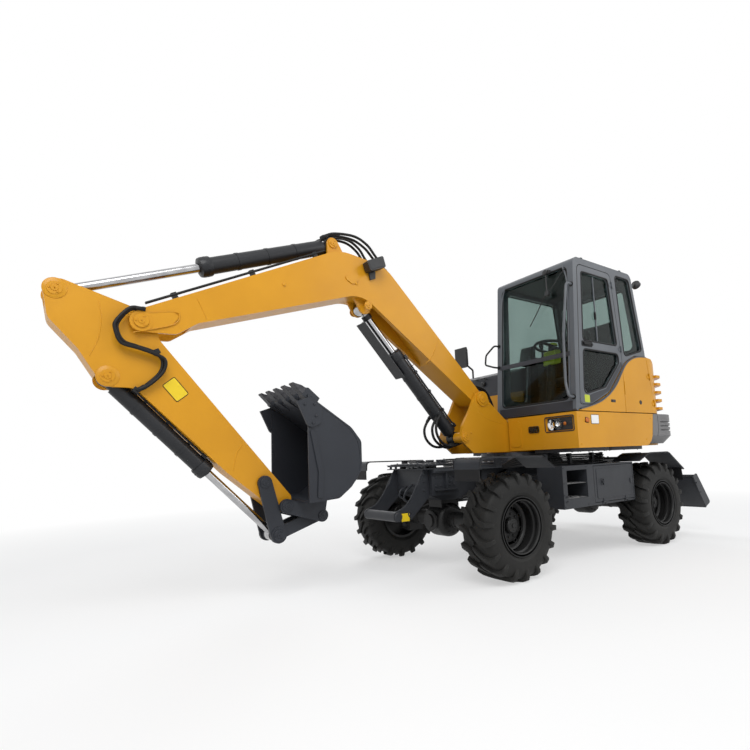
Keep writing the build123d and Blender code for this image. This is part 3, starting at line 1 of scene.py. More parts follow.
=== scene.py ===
"""Looks of the wheeled excavator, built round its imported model.

Places are given in millimetres in the machine's own frame: x to its left, y to the rear from the
slewing centre, z up from the ground. at() turns them into the row frame in metres.
"""
import json
from itertools import product
from math import cos, hypot, pi, radians, sin, tan

import bmesh
import bpy
from mathutils import Matrix, Vector


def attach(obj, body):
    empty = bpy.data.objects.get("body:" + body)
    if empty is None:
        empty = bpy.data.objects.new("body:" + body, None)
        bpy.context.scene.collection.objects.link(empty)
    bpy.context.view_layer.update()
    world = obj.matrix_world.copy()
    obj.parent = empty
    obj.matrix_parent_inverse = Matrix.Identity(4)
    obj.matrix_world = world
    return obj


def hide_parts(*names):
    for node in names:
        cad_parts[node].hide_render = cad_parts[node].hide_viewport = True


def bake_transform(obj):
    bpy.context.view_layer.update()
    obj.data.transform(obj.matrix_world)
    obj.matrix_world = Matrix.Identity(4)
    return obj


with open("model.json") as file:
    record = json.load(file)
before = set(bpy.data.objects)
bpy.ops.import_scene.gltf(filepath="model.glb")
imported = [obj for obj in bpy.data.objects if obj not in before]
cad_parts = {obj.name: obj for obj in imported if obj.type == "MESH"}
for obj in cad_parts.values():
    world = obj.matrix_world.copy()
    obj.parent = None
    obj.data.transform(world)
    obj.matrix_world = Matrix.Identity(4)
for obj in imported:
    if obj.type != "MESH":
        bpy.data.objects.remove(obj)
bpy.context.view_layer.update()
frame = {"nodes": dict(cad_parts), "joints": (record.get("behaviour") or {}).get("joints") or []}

MM = 0.001
SLEW = next(j for j in frame["joints"] if j["name"] == "slew")
SHIFT = SLEW["pos_m"][1]


def at(x, y, z):
    """Point of the machine's frame, in metres in the row frame."""
    return Vector((x * MM, y * MM + SHIFT, z * MM))


# Camera, floor and light

CAMERA = (3621, -4059, 962)
AZIMUTH = radians(52.44)
PITCH = radians(6.56)
ROLL = radians(-2.43)
FOCAL_PX = 509.7
CENTRE_PX = (420.5, 399.9)
IMAGE_PX = 750
SENSOR = 36

ahead = Vector((-sin(AZIMUTH) * cos(PITCH), cos(AZIMUTH) * cos(PITCH), sin(PITCH)))
level = Vector((cos(AZIMUTH), sin(AZIMUTH), 0))
above = level.cross(ahead)
right = cos(ROLL) * level + sin(ROLL) * above
up = cos(ROLL) * above - sin(ROLL) * level
lens = bpy.data.cameras.new("camera")
lens.sensor_width = SENSOR
lens.lens = FOCAL_PX / IMAGE_PX * SENSOR
lens.shift_x = (IMAGE_PX / 2 - CENTRE_PX[0]) / IMAGE_PX
lens.shift_y = (CENTRE_PX[1] - IMAGE_PX / 2) / IMAGE_PX
lens.clip_end = 200
camera = bpy.data.objects.new("camera", lens)
turn = Matrix((right, up, -ahead)).transposed().to_4x4()
camera.matrix_world = Matrix.Translation(at(*CAMERA)) @ turn
bpy.context.scene.collection.objects.link(camera)
bpy.context.scene.camera = camera
bpy.context.scene.view_settings.view_transform = "Standard"


def nodes_of(name):
    """New material with its node tree and shader."""
    material = bpy.data.materials.new(name)
    material.use_nodes = True
    tree = material.node_tree
    return material, tree, tree.nodes["Principled BSDF"]


def add(tree, kind, inputs=(), **fields):
    """New node with fields set and inputs linked or set."""
    node = tree.nodes.new(kind)
    for key, value in fields.items():
        setattr(node, key, value)
    for key, value in dict(inputs).items():
        if isinstance(value, bpy.types.NodeSocket):
            tree.links.new(value, node.inputs[key])
        else:
            node.inputs[key].default_value = value
    return node


def ramp(tree, factor, stops):
    """Colour ramp through (place, colour) stops."""
    node = add(tree, "ShaderNodeValToRGB", {"Fac": factor})
    elements = node.color_ramp.elements
    while len(elements) < len(stops):
        elements.new(0.5)
    for element, (place, colour) in zip(elements, stops):
        element.position = place
        element.color = (*colour, 1)
    return node.outputs["Color"]


def noise(tree, scale, detail=3, stretch=(1, 1, 1), rough=0.5):
    """Noise in the row frame."""
    coords = add(tree, "ShaderNodeTexCoord")
    mapping = add(tree, "ShaderNodeMapping", {"Vector": coords.outputs["Object"], "Scale": stretch})
    node = add(tree, "ShaderNodeTexNoise", {"Vector": mapping.outputs[0], "Scale": scale, "Detail": detail,
                                            "Roughness": rough})
    return node.outputs["Fac"]


def spread(tree, value, low, high):
    """Value from 0 to 1 mapped to a range."""
    return add(tree, "ShaderNodeMapRange", {"Value": value, "To Min": low, "To Max": high}).outputs[0]


def bumped(tree, shader, height, strength, distance=0.001):
    """Bump from a height."""
    bump = add(tree, "ShaderNodeBump", {"Height": height, "Strength": strength, "Distance": distance})
    tree.links.new(bump.outputs[0], shader.inputs["Normal"])


def dress(tree, shader, colour, gloss, low, high):
    """Links a colour, and a roughness that follows a value from 0 to 1."""
    tree.links.new(colour, shader.inputs["Base Color"])
    tree.links.new(spread(tree, gloss, low, high), shader.inputs["Roughness"])


def preset(shader, values):
    """Sets what is the same all over on the shader's own sockets."""
    for key, value in values.items():
        shader.inputs[key].default_value = value


def mixed(tree, factor, a, b):
    """Mix of two colours."""
    node = add(tree, "ShaderNodeMix", data_type="RGBA")
    tree.links.new(factor, node.inputs["Factor"])
    for key, value in ((6, a), (7, b)):
        if isinstance(value, bpy.types.NodeSocket):
            tree.links.new(value, node.inputs[key])
        else:
            node.inputs[key].default_value = (*value, 1)
    return node.outputs[2]


def low_dust(tree, colour, dust, top, most):
    """Colour with dust that grows towards the ground."""
    coords = add(tree, "ShaderNodeTexCoord")
    parts = add(tree, "ShaderNodeSeparateXYZ", {"Vector": coords.outputs["Object"]})
    height = add(tree, "ShaderNodeMapRange", {"Value": parts.outputs["Z"], "From Min": 0.0, "From Max": top,
                                              "To Min": most, "To Max": 0.0})
    grain = noise(tree, 9, 6, rough=0.65)
    amount = add(tree, "ShaderNodeMath", {0: height.outputs[0], 1: grain}, operation="MULTIPLY").outputs[0]
    return mixed(tree, amount, colour, dust)


def paint(name, base, deep, rough, coat, grain=420, peel=0.05, dust=0.0):
    """Sprayed enamel: slow change of colour, orange peel, uneven gloss and dust low down."""
    material, tree, shader = nodes_of(name)
    cloud = noise(tree, 2.3, 4)
    colour = ramp(tree, cloud, [(0.3, deep), (0.7, base)])
    if dust:
        colour = low_dust(tree, colour, (0.16, 0.15, 0.135), 1.1, dust)
    dress(tree, shader, colour, noise(tree, 14, 5), rough - 0.05, rough + 0.09)
    preset(shader, {"Coat Weight": coat, "Coat Roughness": 0.12, "Specular IOR Level": 0.3})
    bumped(tree, shader, noise(tree, grain, 2), peel)
    return material


def bare_metal(name, base, deep, rough, stretch=(1, 1, 1), grain=60):
    """Bare or plated metal with fine scratches along one direction."""
    material, tree, shader = nodes_of(name)
    streak = noise(tree, grain, 4, stretch)
    dress(tree, shader, ramp(tree, streak, [(0.35, deep), (0.65, base)]), streak, rough - 0.04, rough + 0.1)
    preset(shader, {"Metallic": 1.0})
    bumped(tree, shader, streak, 0.03)
    return material


def rubber(name, base, deep, rough, grain=260, dust=0.0):
    """Matt rubber with a fine grain and dust low down."""
    material, tree, shader = nodes_of(name)
    colour = ramp(tree, noise(tree, 12, 6, rough=0.7), [(0.3, deep), (0.75, base)])
    if dust:
        colour = low_dust(tree, colour, (0.15, 0.14, 0.125), 0.9, dust)
    dress(tree, shader, colour, noise(tree, 40, 3), rough - 0.1, rough + 0.08)
    preset(shader, {"Specular IOR Level": 0.25})
    bumped(tree, shader, noise(tree, grain, 3), 0.12)
    return material


def clear(name, tint, deep, rough=0.02, weight=1.0, index=1.45):
    """Glass or clear plastic with a slight uneven tint."""
    material, tree, shader = nodes_of(name)
    colour = ramp(tree, noise(tree, 1.7, 2), [(0.3, deep), (0.7, tint)])
    dress(tree, shader, colour, noise(tree, 6, 4), rough, rough + 0.03)
    preset(shader, {"Transmission Weight": weight, "IOR": index})
    return material


def moulded(name, base, deep, rough, grain=900, strength=0.1):
    """Grained moulded plastic."""
    material, tree, shader = nodes_of(name)
    coords = add(tree, "ShaderNodeTexCoord")
    cells = add(tree, "ShaderNodeTexVoronoi", {"Vector": coords.outputs["Object"], "Scale": grain})
    colour = ramp(tree, noise(tree, 8, 3), [(0.3, deep), (0.7, base)])
    dress(tree, shader, colour, noise(tree, 30, 3), rough - 0.06, rough + 0.08)
    bumped(tree, shader, cells.outputs["Distance"], strength)
    return material


def woven(name, base, deep, pitch=420):
    """Woven cloth: crossed threads in height and colour, with sheen."""
    material, tree, shader = nodes_of(name)
    coords = add(tree, "ShaderNodeTexCoord")
    threads = []
    for direction in ("X", "Y"):
        wave = add(tree, "ShaderNodeTexWave", {"Vector": coords.outputs["Object"], "Scale": pitch},
                   bands_direction=direction)
        threads.append(wave.outputs["Fac"])
    cross = add(tree, "ShaderNodeMath", {0: threads[0], 1: threads[1]}, operation="MAXIMUM").outputs[0]
    dress(tree, shader, ramp(tree, cross, [(0.2, deep), (0.8, base)]), noise(tree, 20, 3), 0.75, 0.92)
    preset(shader, {"Sheen Weight": 0.35})
    bumped(tree, shader, cross, 0.35)
    return material


LOOKS = {
    # name: (material, slot of the record)
    "yellow": (paint("yellow_enamel", (0.62, 0.285, 0.01), (0.56, 0.25, 0.008), 0.36, 0.05), "yellow_paint"),
    "slate": (paint("slate_enamel", (0.028, 0.031, 0.037), (0.02, 0.022, 0.027), 0.46, 0.03, dust=0.12),
              "slate_paint"),
    "bucket": (paint("bucket_enamel", (0.024, 0.027, 0.034), (0.017, 0.019, 0.025), 0.46, 0.05),
               "slate_paint"),
    "black": (paint("black_enamel", (0.008, 0.0085, 0.009), (0.005, 0.005, 0.0055), 0.45, 0.05, dust=0.1),
              "black_paint"),
    "cylinder": (paint("cylinder_enamel", (0.016, 0.017, 0.02), (0.01, 0.011, 0.013), 0.42, 0.1),
                 "black_paint"),
    "cab": (paint("cab_enamel", (0.105, 0.115, 0.128), (0.08, 0.088, 0.1), 0.36, 0.2), "cab_paint"),
    "dark_cab": (paint("dark_cab_enamel", (0.032, 0.034, 0.042), (0.022, 0.024, 0.03), 0.42, 0.1),
                 "cab_paint"),
    "weight": (paint("weight_enamel", (0.165, 0.163, 0.165), (0.135, 0.133, 0.135), 0.46, 0.05),
               "weight_paint"),
    "ring": (bare_metal("oiled_steel", (0.09, 0.09, 0.095), (0.04, 0.04, 0.045), 0.45, grain=24), "steel"),
    "worn": (bare_metal("worn_steel", (0.26, 0.26, 0.26), (0.12, 0.12, 0.125), 0.5, grain=18), "slate_paint"),
    "chrome": (bare_metal("hard_chrome", (0.5, 0.5, 0.505), (0.36, 0.36, 0.37), 0.16, (1, 0.2, 0.2)),
               "chrome_rod"),
    "tyre": (rubber("tyre_rubber", (0.0095, 0.0095, 0.009), (0.005, 0.005, 0.0048), 0.62, dust=0.1),
             "tyre_rubber"),
    "hose": (rubber("hose_rubber", (0.01, 0.01, 0.0105), (0.006, 0.006, 0.0065), 0.5), "black_paint"),
    "seal": (rubber("seal_rubber", (0.012, 0.012, 0.013), (0.007, 0.007, 0.0075), 0.6), "trim_plastic"),
    "glass": (clear("cab_glass", (0.44, 0.52, 0.5), (0.38, 0.46, 0.44), index=1.2), "cab_glass"),
    "lens": (clear("lamp_lens", (0.95, 0.96, 0.97), (0.88, 0.9, 0.92)), "lamp_glass"),
    "amber": (clear("amber_lens", (0.85, 0.27, 0.02), (0.7, 0.18, 0.015), 0.08, 0.4), "lamp_glass"),
    "red": (clear("red_lens", (0.6, 0.02, 0.015), (0.45, 0.015, 0.01), 0.08, 0.5), "lamp_glass"),
    "mirror": (bare_metal("mirror_glass", (0.8, 0.81, 0.82), (0.74, 0.76, 0.77), 0.05), "chrome_rod"),
    "cloth": (woven("seat_cloth", (0.04, 0.04, 0.045), (0.016, 0.016, 0.019)), "seat_cloth"),
    "plastic": (moulded("trim_plastic", (0.018, 0.0185, 0.02), (0.011, 0.0115, 0.0125), 0.5), "trim_plastic"),
    "iron": (paint("engine_iron", (0.08, 0.08, 0.08), (0.05, 0.05, 0.05), 0.55, 0.0, dust=0.2),
             "engine_iron"),
    "sign_white": (paint("white_plate", (0.82, 0.82, 0.81), (0.76, 0.76, 0.75), 0.35, 0.2), "weight_paint"),
    "sign_yellow": (paint("yellow_plate", (0.78, 0.56, 0.02), (0.7, 0.49, 0.015), 0.35, 0.2), "yellow_paint"),
    "sign_green": (paint("green_plate", (0.5, 0.56, 0.04), (0.44, 0.5, 0.03), 0.4, 0.1), "yellow_paint"),
}

PAINTED = {
    "yellow": ("turntable", "left_cover", "side_door", "body_skirts", "right_cover", "engine_bulkhead",
               "engine_hood", "boom", "arm"),
    "slate": ("chassis_frame", "front_cradle", "front_deck", "fenders", "step_box_left", "step_box_right",
              "toolbox_door_left", "toolbox_door_right", "dozer_blade"),
    "bucket": ("bucket", "guide_links", "bucket_link"),
    "black": ("front_axle", "rear_axle", "drive_line", "knuckle_left", "knuckle_right", "rim_front_left",
              "rim_front_right", "rim_rear_left", "rim_rear_right", "handrails", "boom_pipes"),
    "cylinder": ("boom_cylinder_barrel", "arm_cylinder_barrel", "bucket_cylinder_barrel",
                 "blade_cylinder_barrel", "boom_rod_guard"),
    "plastic": ("cab_controls", "boom_lamp", "right_mirror"),
    "cab": ("cab_frame", "cab_door"),
    "dark_cab": ("right_case",),
    "weight": ("counterweight",),
    "ring": ("slew_ring",),
    "chrome": ("boom_cylinder_rod", "arm_cylinder_rod", "bucket_cylinder_rod", "blade_cylinder_rod"),
    "tyre": ("tyre_front_left", "tyre_front_right", "tyre_rear_left", "tyre_rear_right"),
    "glass": ("cab_glass", "door_glass"),
    "lens": ("headlamp",),
    "cloth": ("operator_seat",),
    "iron": ("engine_block",),
}
for look, names in PAINTED.items():
    for name in names:
        surface = frame["nodes"][name].data
        surface.materials.clear()
        surface.materials.append(LOOKS[look][0])


def pale_floor():
    """Floor that turns white far from the machine, and keeps its shadow near it."""
    material, tree, shader = nodes_of("pale_floor")
    tone = ramp(tree, noise(tree, 0.6, 2), [(0.3, (0.89, 0.89, 0.89)), (0.7, (0.91, 0.91, 0.91))])
    tree.links.new(tone, shader.inputs["Base Color"])
    shader.inputs["Roughness"].default_value = 0.9
    coords = add(tree, "ShaderNodeTexCoord")
    reach = add(tree, "ShaderNodeVectorMath", {0: coords.outputs["Object"]}, operation="LENGTH")
    far = add(tree, "ShaderNodeMapRange", {"Value": reach.outputs["Value"], "From Min": FLOOR_NEAR,
                                           "From Max": FLOOR_FAR, "To Min": FLOOR_WHITE, "To Max": 1.0})
    share = add(tree, "ShaderNodeMath", {0: far.outputs[0], 1: seen_directly(tree)}, operation="MULTIPLY")
    glow = add(tree, "ShaderNodeEmission", {"Color": (1, 1, 1, 1), "Strength": 1.0})
    both = add(tree, "ShaderNodeMixShader", {0: share.outputs[0], 1: shader.outputs[0], 2: glow.outputs[0]})
    tree.links.new(both.outputs[0], tree.nodes["Material Output"].inputs["Surface"])
    return material


def seen_directly(tree):
    """1 for rays from the camera, a mirror or a pane, otherwise 0."""
    path = add(tree, "ShaderNodeLightPath")
    value = path.outputs["Is Camera Ray"]
    for name in ("Is Glossy Ray", "Is Transmission Ray"):
        value = add(tree, "ShaderNodeMath", {0: value, 1: path.outputs[name]}, operation="MAXIMUM").outputs[0]
    return value


FLOOR_HALF = 60
FLOOR_NEAR = 4.5
FLOOR_FAR = 9.0
FLOOR_WHITE = 0.5
floor_mesh = bpy.data.meshes.new("floor")
floor_mesh.from_pydata([(x * FLOOR_HALF, y * FLOOR_HALF, 0) for x, y in ((-1, -1), (1, -1), (1, 1), (-1, 1))],
                       [], [(0, 1, 2, 3)])
floor = bpy.data.objects.new("floor", floor_mesh)
bpy.context.scene.collection.objects.link(floor)
floor_mesh.materials.append(pale_floor())

world = bpy.data.worlds.new("studio")
world.use_nodes = True
bpy.context.scene.world = world
sky = world.node_tree
for node in list(sky.nodes):
    sky.nodes.remove(node)
soft = add(sky, "ShaderNodeBackground", {"Color": (0.96, 0.98, 1.0, 1), "Strength": 0.5})
white = add(sky, "ShaderNodeBackground", {"Color": (1, 1, 1, 1), "Strength": 1.0})
blend = add(sky, "ShaderNodeMixShader", {0: seen_directly(sky), 1: soft.outputs[0], 2: white.outputs[0]})
out = add(sky, "ShaderNodeOutputWorld", {"Surface": blend.outputs[0]})


def lamp(name, place, target, size, power):
    """Soft area lamp that looks at a target."""
    data = bpy.data.lights.new(name, "AREA")
    data.shape = "DISK"
    data.size = size
    data.energy = power
    obj = bpy.data.objects.new(name, data)
    obj.location = at(*place)
    obj.rotation_euler = (at(*target) - at(*place)).to_track_quat("-Z", "Y").to_euler()
    bpy.context.scene.collection.objects.link(obj)


lamp("key", (5200, -5200, 6800), (0, -900, 1200), 5, 400)
lamp("fill", (6500, 3500, 5200), (0, 0, 1200), 5, 155)
lamp("back", (-6000, 2500, 5500), (0, -600, 1200), 5, 170)


# Mesh helpers

UPWARD = (0, 0, 1)
LEFTWARD = (1, 0, 0)
FORWARD = (0, -1, 0)
REARWARD = (0, 1, 0)
# What is being built: every helper adds to it, and piece() makes an object of it and empties it
bm = bmesh.new()


def piece(name, look, body="superstructure", smooth=34, bevel=0.0):
    """Makes a piece of what was built, with its finish, riding on a body."""
    bmesh.ops.recalc_face_normals(bm, faces=bm.faces)
    mesh = bpy.data.meshes.new(name)
    bm.to_mesh(mesh)
    bm.clear()
    obj = bpy.data.objects.new(name, mesh)
    bpy.context.scene.collection.objects.link(obj)
    material, slot = LOOKS[look]
    mesh.materials.append(material)
    mesh.shade_smooth()
    mesh.set_sharp_from_angle(angle=radians(smooth))
    if bevel:
        edge = obj.modifiers.new("edge", "BEVEL")
        edge.width = bevel * MM
        edge.segments = 2
        edge.limit_method = "ANGLE"
        edge.angle_limit = radians(32)
    if body:
        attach(obj, body)
    return obj


def prism(corners, axis, low, high):
    """Adds a solid whose outline lies across an axis, from low to high along it."""
    def place(u, w, d):
        return at(*((d, u, w) if axis == "x" else (u, d, w) if axis == "y" else (u, w, d)))
    first = [bm.verts.new(place(u, w, low)) for u, w in corners]
    last = [bm.verts.new(place(u, w, high)) for u, w in corners]
    bm.faces.new(first)
    bm.faces.new(last[::-1])
    count = len(corners)
    for i in range(count):
        j = (i + 1) % count
        bm.faces.new((first[i], first[j], last[j], last[i]))


def rounded(corners, radius, steps=4):
    """Outline with its corners rounded."""
    result = []
    count = len(corners)
    for i in range(count):
        p, a, b = Vector(corners[i]), Vector(corners[i - 1]), Vector(corners[(i + 1) % count])
        u, v = (a - p).normalized(), (b - p).normalized()
        half = u.angle(v) / 2
        cut = min(radius / tan(half), (a - p).length / 2.01, (b - p).length / 2.01) if half < 1.55 else 0
        if cut < 0.5:
            result.append(tuple(p))
            continue
        start, end = p + u * cut, p + v * cut
        for k in range(steps + 1):
            t = k / steps
            result.append(tuple(start * (1 - t) ** 2 + p * 2 * t * (1 - t) + end * t * t))
    return result


def rect(u0, u1, w0, w1, radius=0.0, steps=4):
    """Rectangle outline with rounded corners."""
    corners = [(u0, w0), (u1, w0), (u1, w1), (u0, w1)]
    return rounded(corners, radius, steps) if radius else corners


def basis(axis):
    """Two directions across an axis."""
    axis = Vector(axis).normalized()
    side = axis.cross(Vector(UPWARD))
    if side.length < 0.1:
        side = axis.cross(Vector(REARWARD))
    side.normalize()
    return axis, side, axis.cross(side)


def lathe(profile, centre, axis, sides=24, phase=0.0):
    """Adds a turned solid: profile of (place along the axis, radius) in mm, from a centre."""
    axis, u, v = basis(axis)
    origin = at(*centre)
    rings = []
    for along, radius in profile:
        spot = origin + axis * along * MM
        if radius <= 0:
            rings.append([bm.verts.new(spot)])
            continue
        rings.append([bm.verts.new(spot + (u * cos(a) + v * sin(a)) * radius * MM)
                      for a in (2 * pi * k / sides + phase for k in range(sides))])
    closed = profile[0][1] > 0 and profile[-1][1] > 0
    for one, two in zip(rings, rings[1:] + rings[:1] if closed else rings[1:]):
        for k in range(sides):
            n = (k + 1) % sides
            corners = [one[k % len(one)], one[n % len(one)], two[n % len(two)], two[k % len(two)]]
            unique = [c for i, c in enumerate(corners) if c not in corners[:i]]
            if len(unique) > 2:
                bm.faces.new(unique)


def bolt(spot, axis, size):
    """Adds a hexagon head on its washer."""
    knob([(-0.3, size * 1.05), (size * 0.16, size * 1.05)], spot, axis, 16)
    knob([(size * 0.16, size * 0.82), (size * 0.6, size * 0.82), (size * 0.74, size * 0.64)], spot, axis, 6,
         0.3)


def bolts(xs, ys, zs, axis, size):
    """Adds a bolt at each combination of the places."""
    for spot in product(xs, ys, zs):
        bolt(spot, axis, size)


def circle(count, radius, phase=0.0):
    """Offsets (sine, cosine) of places round a circle."""
    turns = [2 * pi * k / count + phase for k in range(count)]
    return [(radius * sin(a), radius * cos(a)) for a in turns]


def knob(profile, centre, axis, sides=24, phase=0.0):
    """Adds a turned solid whose profile is closed to the axis at both ends."""
    lathe([(profile[0][0], 0), *profile, (profile[-1][0], 0)], centre, axis, sides, phase)


def spline(points, steps=8):
    """Smooth line through the points."""
    points = [Vector(p) for p in points]
    padded = [points[0] * 2 - points[1]] + points + [points[-1] * 2 - points[-2]]
    line = []
    for a, b, c, d in zip(padded, padded[1:], padded[2:], padded[3:]):
        for k in range(steps):
            t = k / steps
            line.append(0.5 * ((2 * b) + (c - a) * t + (2 * a - 5 * b + 4 * c - d) * t * t
                               + (3 * b - a - 3 * c + d) * t ** 3))
    line.append(points[-1])
    return line


def tube(line, radius, sides=12):
    """Adds a round tube along a line of points in mm."""
    line = [Vector(p) for p in line]
    count = len(line)
    tangents = [(line[min(i + 1, count - 1)] - line[max(i - 1, 0)]).normalized() for i in range(count)]
    side = basis(tangents[0])[1]
    rings = []
    for i, (spot, along) in enumerate(zip(line, tangents)):
        side = (side - along * side.dot(along)).normalized()
        other = along.cross(side)
        wide = radius(i / (count - 1)) if callable(radius) else radius
        rings.append([bm.verts.new(at(*(spot + (side * cos(a) + other * sin(a)) * wide)))
                      for a in (2 * pi * k / sides for k in range(sides))])
    for one, two in zip(rings, rings[1:]):
        for k in range(sides):
            n = (k + 1) % sides
            bm.faces.new((one[k], one[n], two[n], two[k]))
    bm.faces.new(rings[0][::-1])
    bm.faces.new(rings[-1])


def hose(points, radius, steps=8):
    """Adds a hose with a crimped sleeve and a nut at both ends."""
    line = spline(points, steps)
    tube(line, radius)
    for spot, toward in ((line[0], line[1]), (line[-1], line[-2])):
        along = (toward - spot).normalized()
        knob([(-2, radius * 1.5), (radius * 1.4, radius * 1.5)], spot, along, 6)
        knob([(radius * 1.4, radius * 1.28), (radius * 4.6, radius * 1.28), (radius * 5, radius * 1.02)],
             spot, along, 14)


def loop_seal(outline, axis, place, radius, tilt=None):
    """Adds a closed rubber bead along an outline; tilt maps a point of it to its place along the axis."""
    points = []
    for u, w in outline:
        d = tilt(u, w) if tilt else place
        points.append(Vector((d, u, w) if axis == "x" else (u, d, w)))
    line = []
    for p, q in zip(points, points[1:] + points[:1]):
        line += [p, p.lerp(q, 0.5)]
    rings = []
    count = len(line)
    normal = Vector(LEFTWARD) if axis == "x" else Vector(REARWARD)
    for i, spot in enumerate(line):
        along = (line[(i + 1) % count] - line[i - 1]).normalized()
        side = along.cross(normal).normalized()
        rings.append([bm.verts.new(at(*(spot + (side * cos(a) + normal * sin(a) * 0.7) * radius)))
                      for a in (2 * pi * k / 8 for k in range(8))])
    for i in range(count):
        one, two = rings[i], rings[(i + 1) % count]
        for k in range(8):
            n = (k + 1) % 8
            bm.faces.new((one[k], one[n], two[n], two[k]))


def along_run(start, end, along, across=0.0):
    """Side-view point of a run: so far along it and so far across it, a quarter turn on from y to z."""
    length = hypot(end[0] - start[0], end[1] - start[1])
    uy, uz = (end[0] - start[0]) / length, (end[1] - start[1]) / length
    return start[0] + uy * along - uz * across, start[1] + uz * along + uy * across


# Wheels

TYRE_R = 415
LUGS = 18
WHEELBASE = 2120
TRACK = 1574
WHEELS = [
    # name, side, y
    ("front_left", 1, -WHEELBASE / 2), ("front_right", -1, -WHEELBASE / 2),
    ("rear_left", 1, WHEELBASE / 2), ("rear_right", -1, WHEELBASE / 2),
]
CARCASS = [
    # place across the tyre, radius
    (-112, 213), (-122, 215), (-128, 222), (-136, 232), (-141, 246), (-143, 250), (-147, 254), (-148.6, 276),
    (-149, 300), (-147, 322), (-142, 342), (-134, 362), (-122, 377), (-106, 385), (-60, 388.5), (0, 389.5),
]
LUG_STATIONS = [
    # share of the sweep, foot across, foot radius, top across, top radius, half width
    (-0.1, -16, 387, -14, 409, 15), (0.0, 0, 388, 0, 413.5, 18), (0.28, 34, 388, 34, 414.6, 19.5),
    (0.56, 72, 388, 73, 414.6, 20), (0.8, 106, 385, 110, 413, 20), (0.95, 130, 376, 140, 402, 19),
    (1.02, 141, 354, 151.5, 376, 18), (1.06, 146, 330, 153, 346, 16), (1.08, 147, 312, 149.5, 320, 13),
]
LUG_SWEEP = 92


def tyre_mesh(label, side, y):
    """Tyre with a bulged wall, a bead ring and two rows of curved bar lugs."""
    centre = (side * TRACK / 2, y, TYRE_R)
    outline = CARCASS + [(-a, r) for a, r in CARCASS[-2::-1]]
    outline.append((0, 211.5))
    lathe(outline, centre, LEFTWARD, 108)
    for row in (-1, 1):
        for i in range(LUGS):
            start = 2 * pi * (i + (0.5 if row > 0 else 0)) / LUGS
            rings = []
            for share, foot_x, foot_r, top_x, top_r, wide in LUG_STATIONS:
                bend = LUG_SWEEP * sin(pi / 2 * min(share, 1)) if share > 0 else LUG_SWEEP * share * 1.6
                ring = []
                for x, r, w in ((foot_x, foot_r - 3, -wide - 6), (top_x, top_r, -wide), (top_x, top_r, wide),
                                (foot_x, foot_r - 3, wide + 6)):
                    a = start + row * side * (bend + w) / TYRE_R
                    ring.append(bm.verts.new(at(centre[0] + row * x, y - r * sin(a), TYRE_R + r * cos(a))))
                rings.append(ring)
            for one, two in zip(rings, rings[1:]):
                for k in range(4):
                    n = (k + 1) % 4
                    bm.faces.new((one[k], one[n], two[n], two[k]))
            bm.faces.new(rings[0])
            bm.faces.new(rings[-1][::-1])
    obj = piece("tread_" + label, "tyre", "wheel_" + label, smooth=36, bevel=1.6)
    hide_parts("tyre_" + label)


def wheel_trim(label, side, y):
    """Lock ring, drop-centre steps, wheel nuts, hub cap with its plugs, and the valve."""
    x = side * TRACK / 2
    centre = (x, y, TYRE_R)
    out = (side, 0, 0)
    lathe([(112, 203.6), (112, 196), (118, 192), (130, 192), (139, 197), (143, 205), (143, 219), (139, 222),
           (136, 219), (136, 208)], centre, out, 72)
    lathe([(40, 204), (52, 190), (66, 188), (80, 190), (88, 204)], centre, out, 72)
    lathe([(-8, 204), (2, 194), (10, 186), (6, 176), (-4, 168), (-6, 150), (-6, 128), (-8, 100)], centre, out,
          72)
    piece("wheel_rings_" + label, "black", "wheel_" + label, smooth=30)
    for s, c in circle(10, 88, 0.2):
        bolt((x + side * 6, y + s, TYRE_R + c), out, 13)
    knob([(33.9, 58), (38, 58), (44, 52), (46, 40), (46, 17), (52, 15)], centre, out, 40)
    for s, c in circle(6, 34):
        bolt((x + side * 44, y + s, TYRE_R + c), out, 6)
    for s, c in circle(8, 140, 0.3):
        spot = (x - side * 6, y + s, TYRE_R + c)
        lathe([(0, 17), (3, 20), (5, 17), (3, 13), (0, 13)], spot, out, 20)
    tube([(x + side * 60, y + 40, TYRE_R + 196), (x + side * 84, y + 40, TYRE_R + 184),
          (x + side * 104, y + 40, TYRE_R + 178)], 4.5, 8)
    piece("wheel_nuts_" + label, "black", "wheel_" + label)


for label, side, y in WHEELS:
    tyre_mesh(label, side, y)
    wheel_trim(label, side, y)


# Axles and drive

def axle_trim(name, y, face):
    """Casing bolts, breather and brake pipes of one axle, with bolt rings at the wheel ends."""
    for x in (-108, 108):
        for s, c in circle(14, 112):
            bolt((x + (14 if x > 0 else -14), y + s, TYRE_R + c), (1 if x > 0 else -1, 0, 0), 8)
    knob([(-0.5, 92), (14, 92), (18, 84), (18, 60), (34, 56)], (0, y + face * 152, TYRE_R), (0, face, 0), 32)
    for s, c in circle(8, 78):
        bolt((s, y + face * 166, TYRE_R + c), (0, face, 0), 7)
    lathe([(0, 9), (14, 9), (16, 13), (26, 13), (28, 0)], (60, y, TYRE_R + 146), UPWARD, 12)
    for side in (-1, 1):
        hose([(side * 40, y - 60, TYRE_R + 150), (side * 180, y - 64, TYRE_R + 118),
              (side * 320, y - 56, TYRE_R + 84), (side * 425, y - 66, TYRE_R + 74)], 7)
        for x in (190, 330):
            lathe([(-9, 69.5), (-9, 72.5), (9, 72.5), (9, 69.5)], (side * x, y, TYRE_R), LEFTWARD, 32)
    piece(name, "black", "undercarriage")


axle_trim("front_axle_trim", -WHEELBASE / 2, -1)
axle_trim("rear_axle_trim", WHEELBASE / 2, 1)

# Steering knuckles

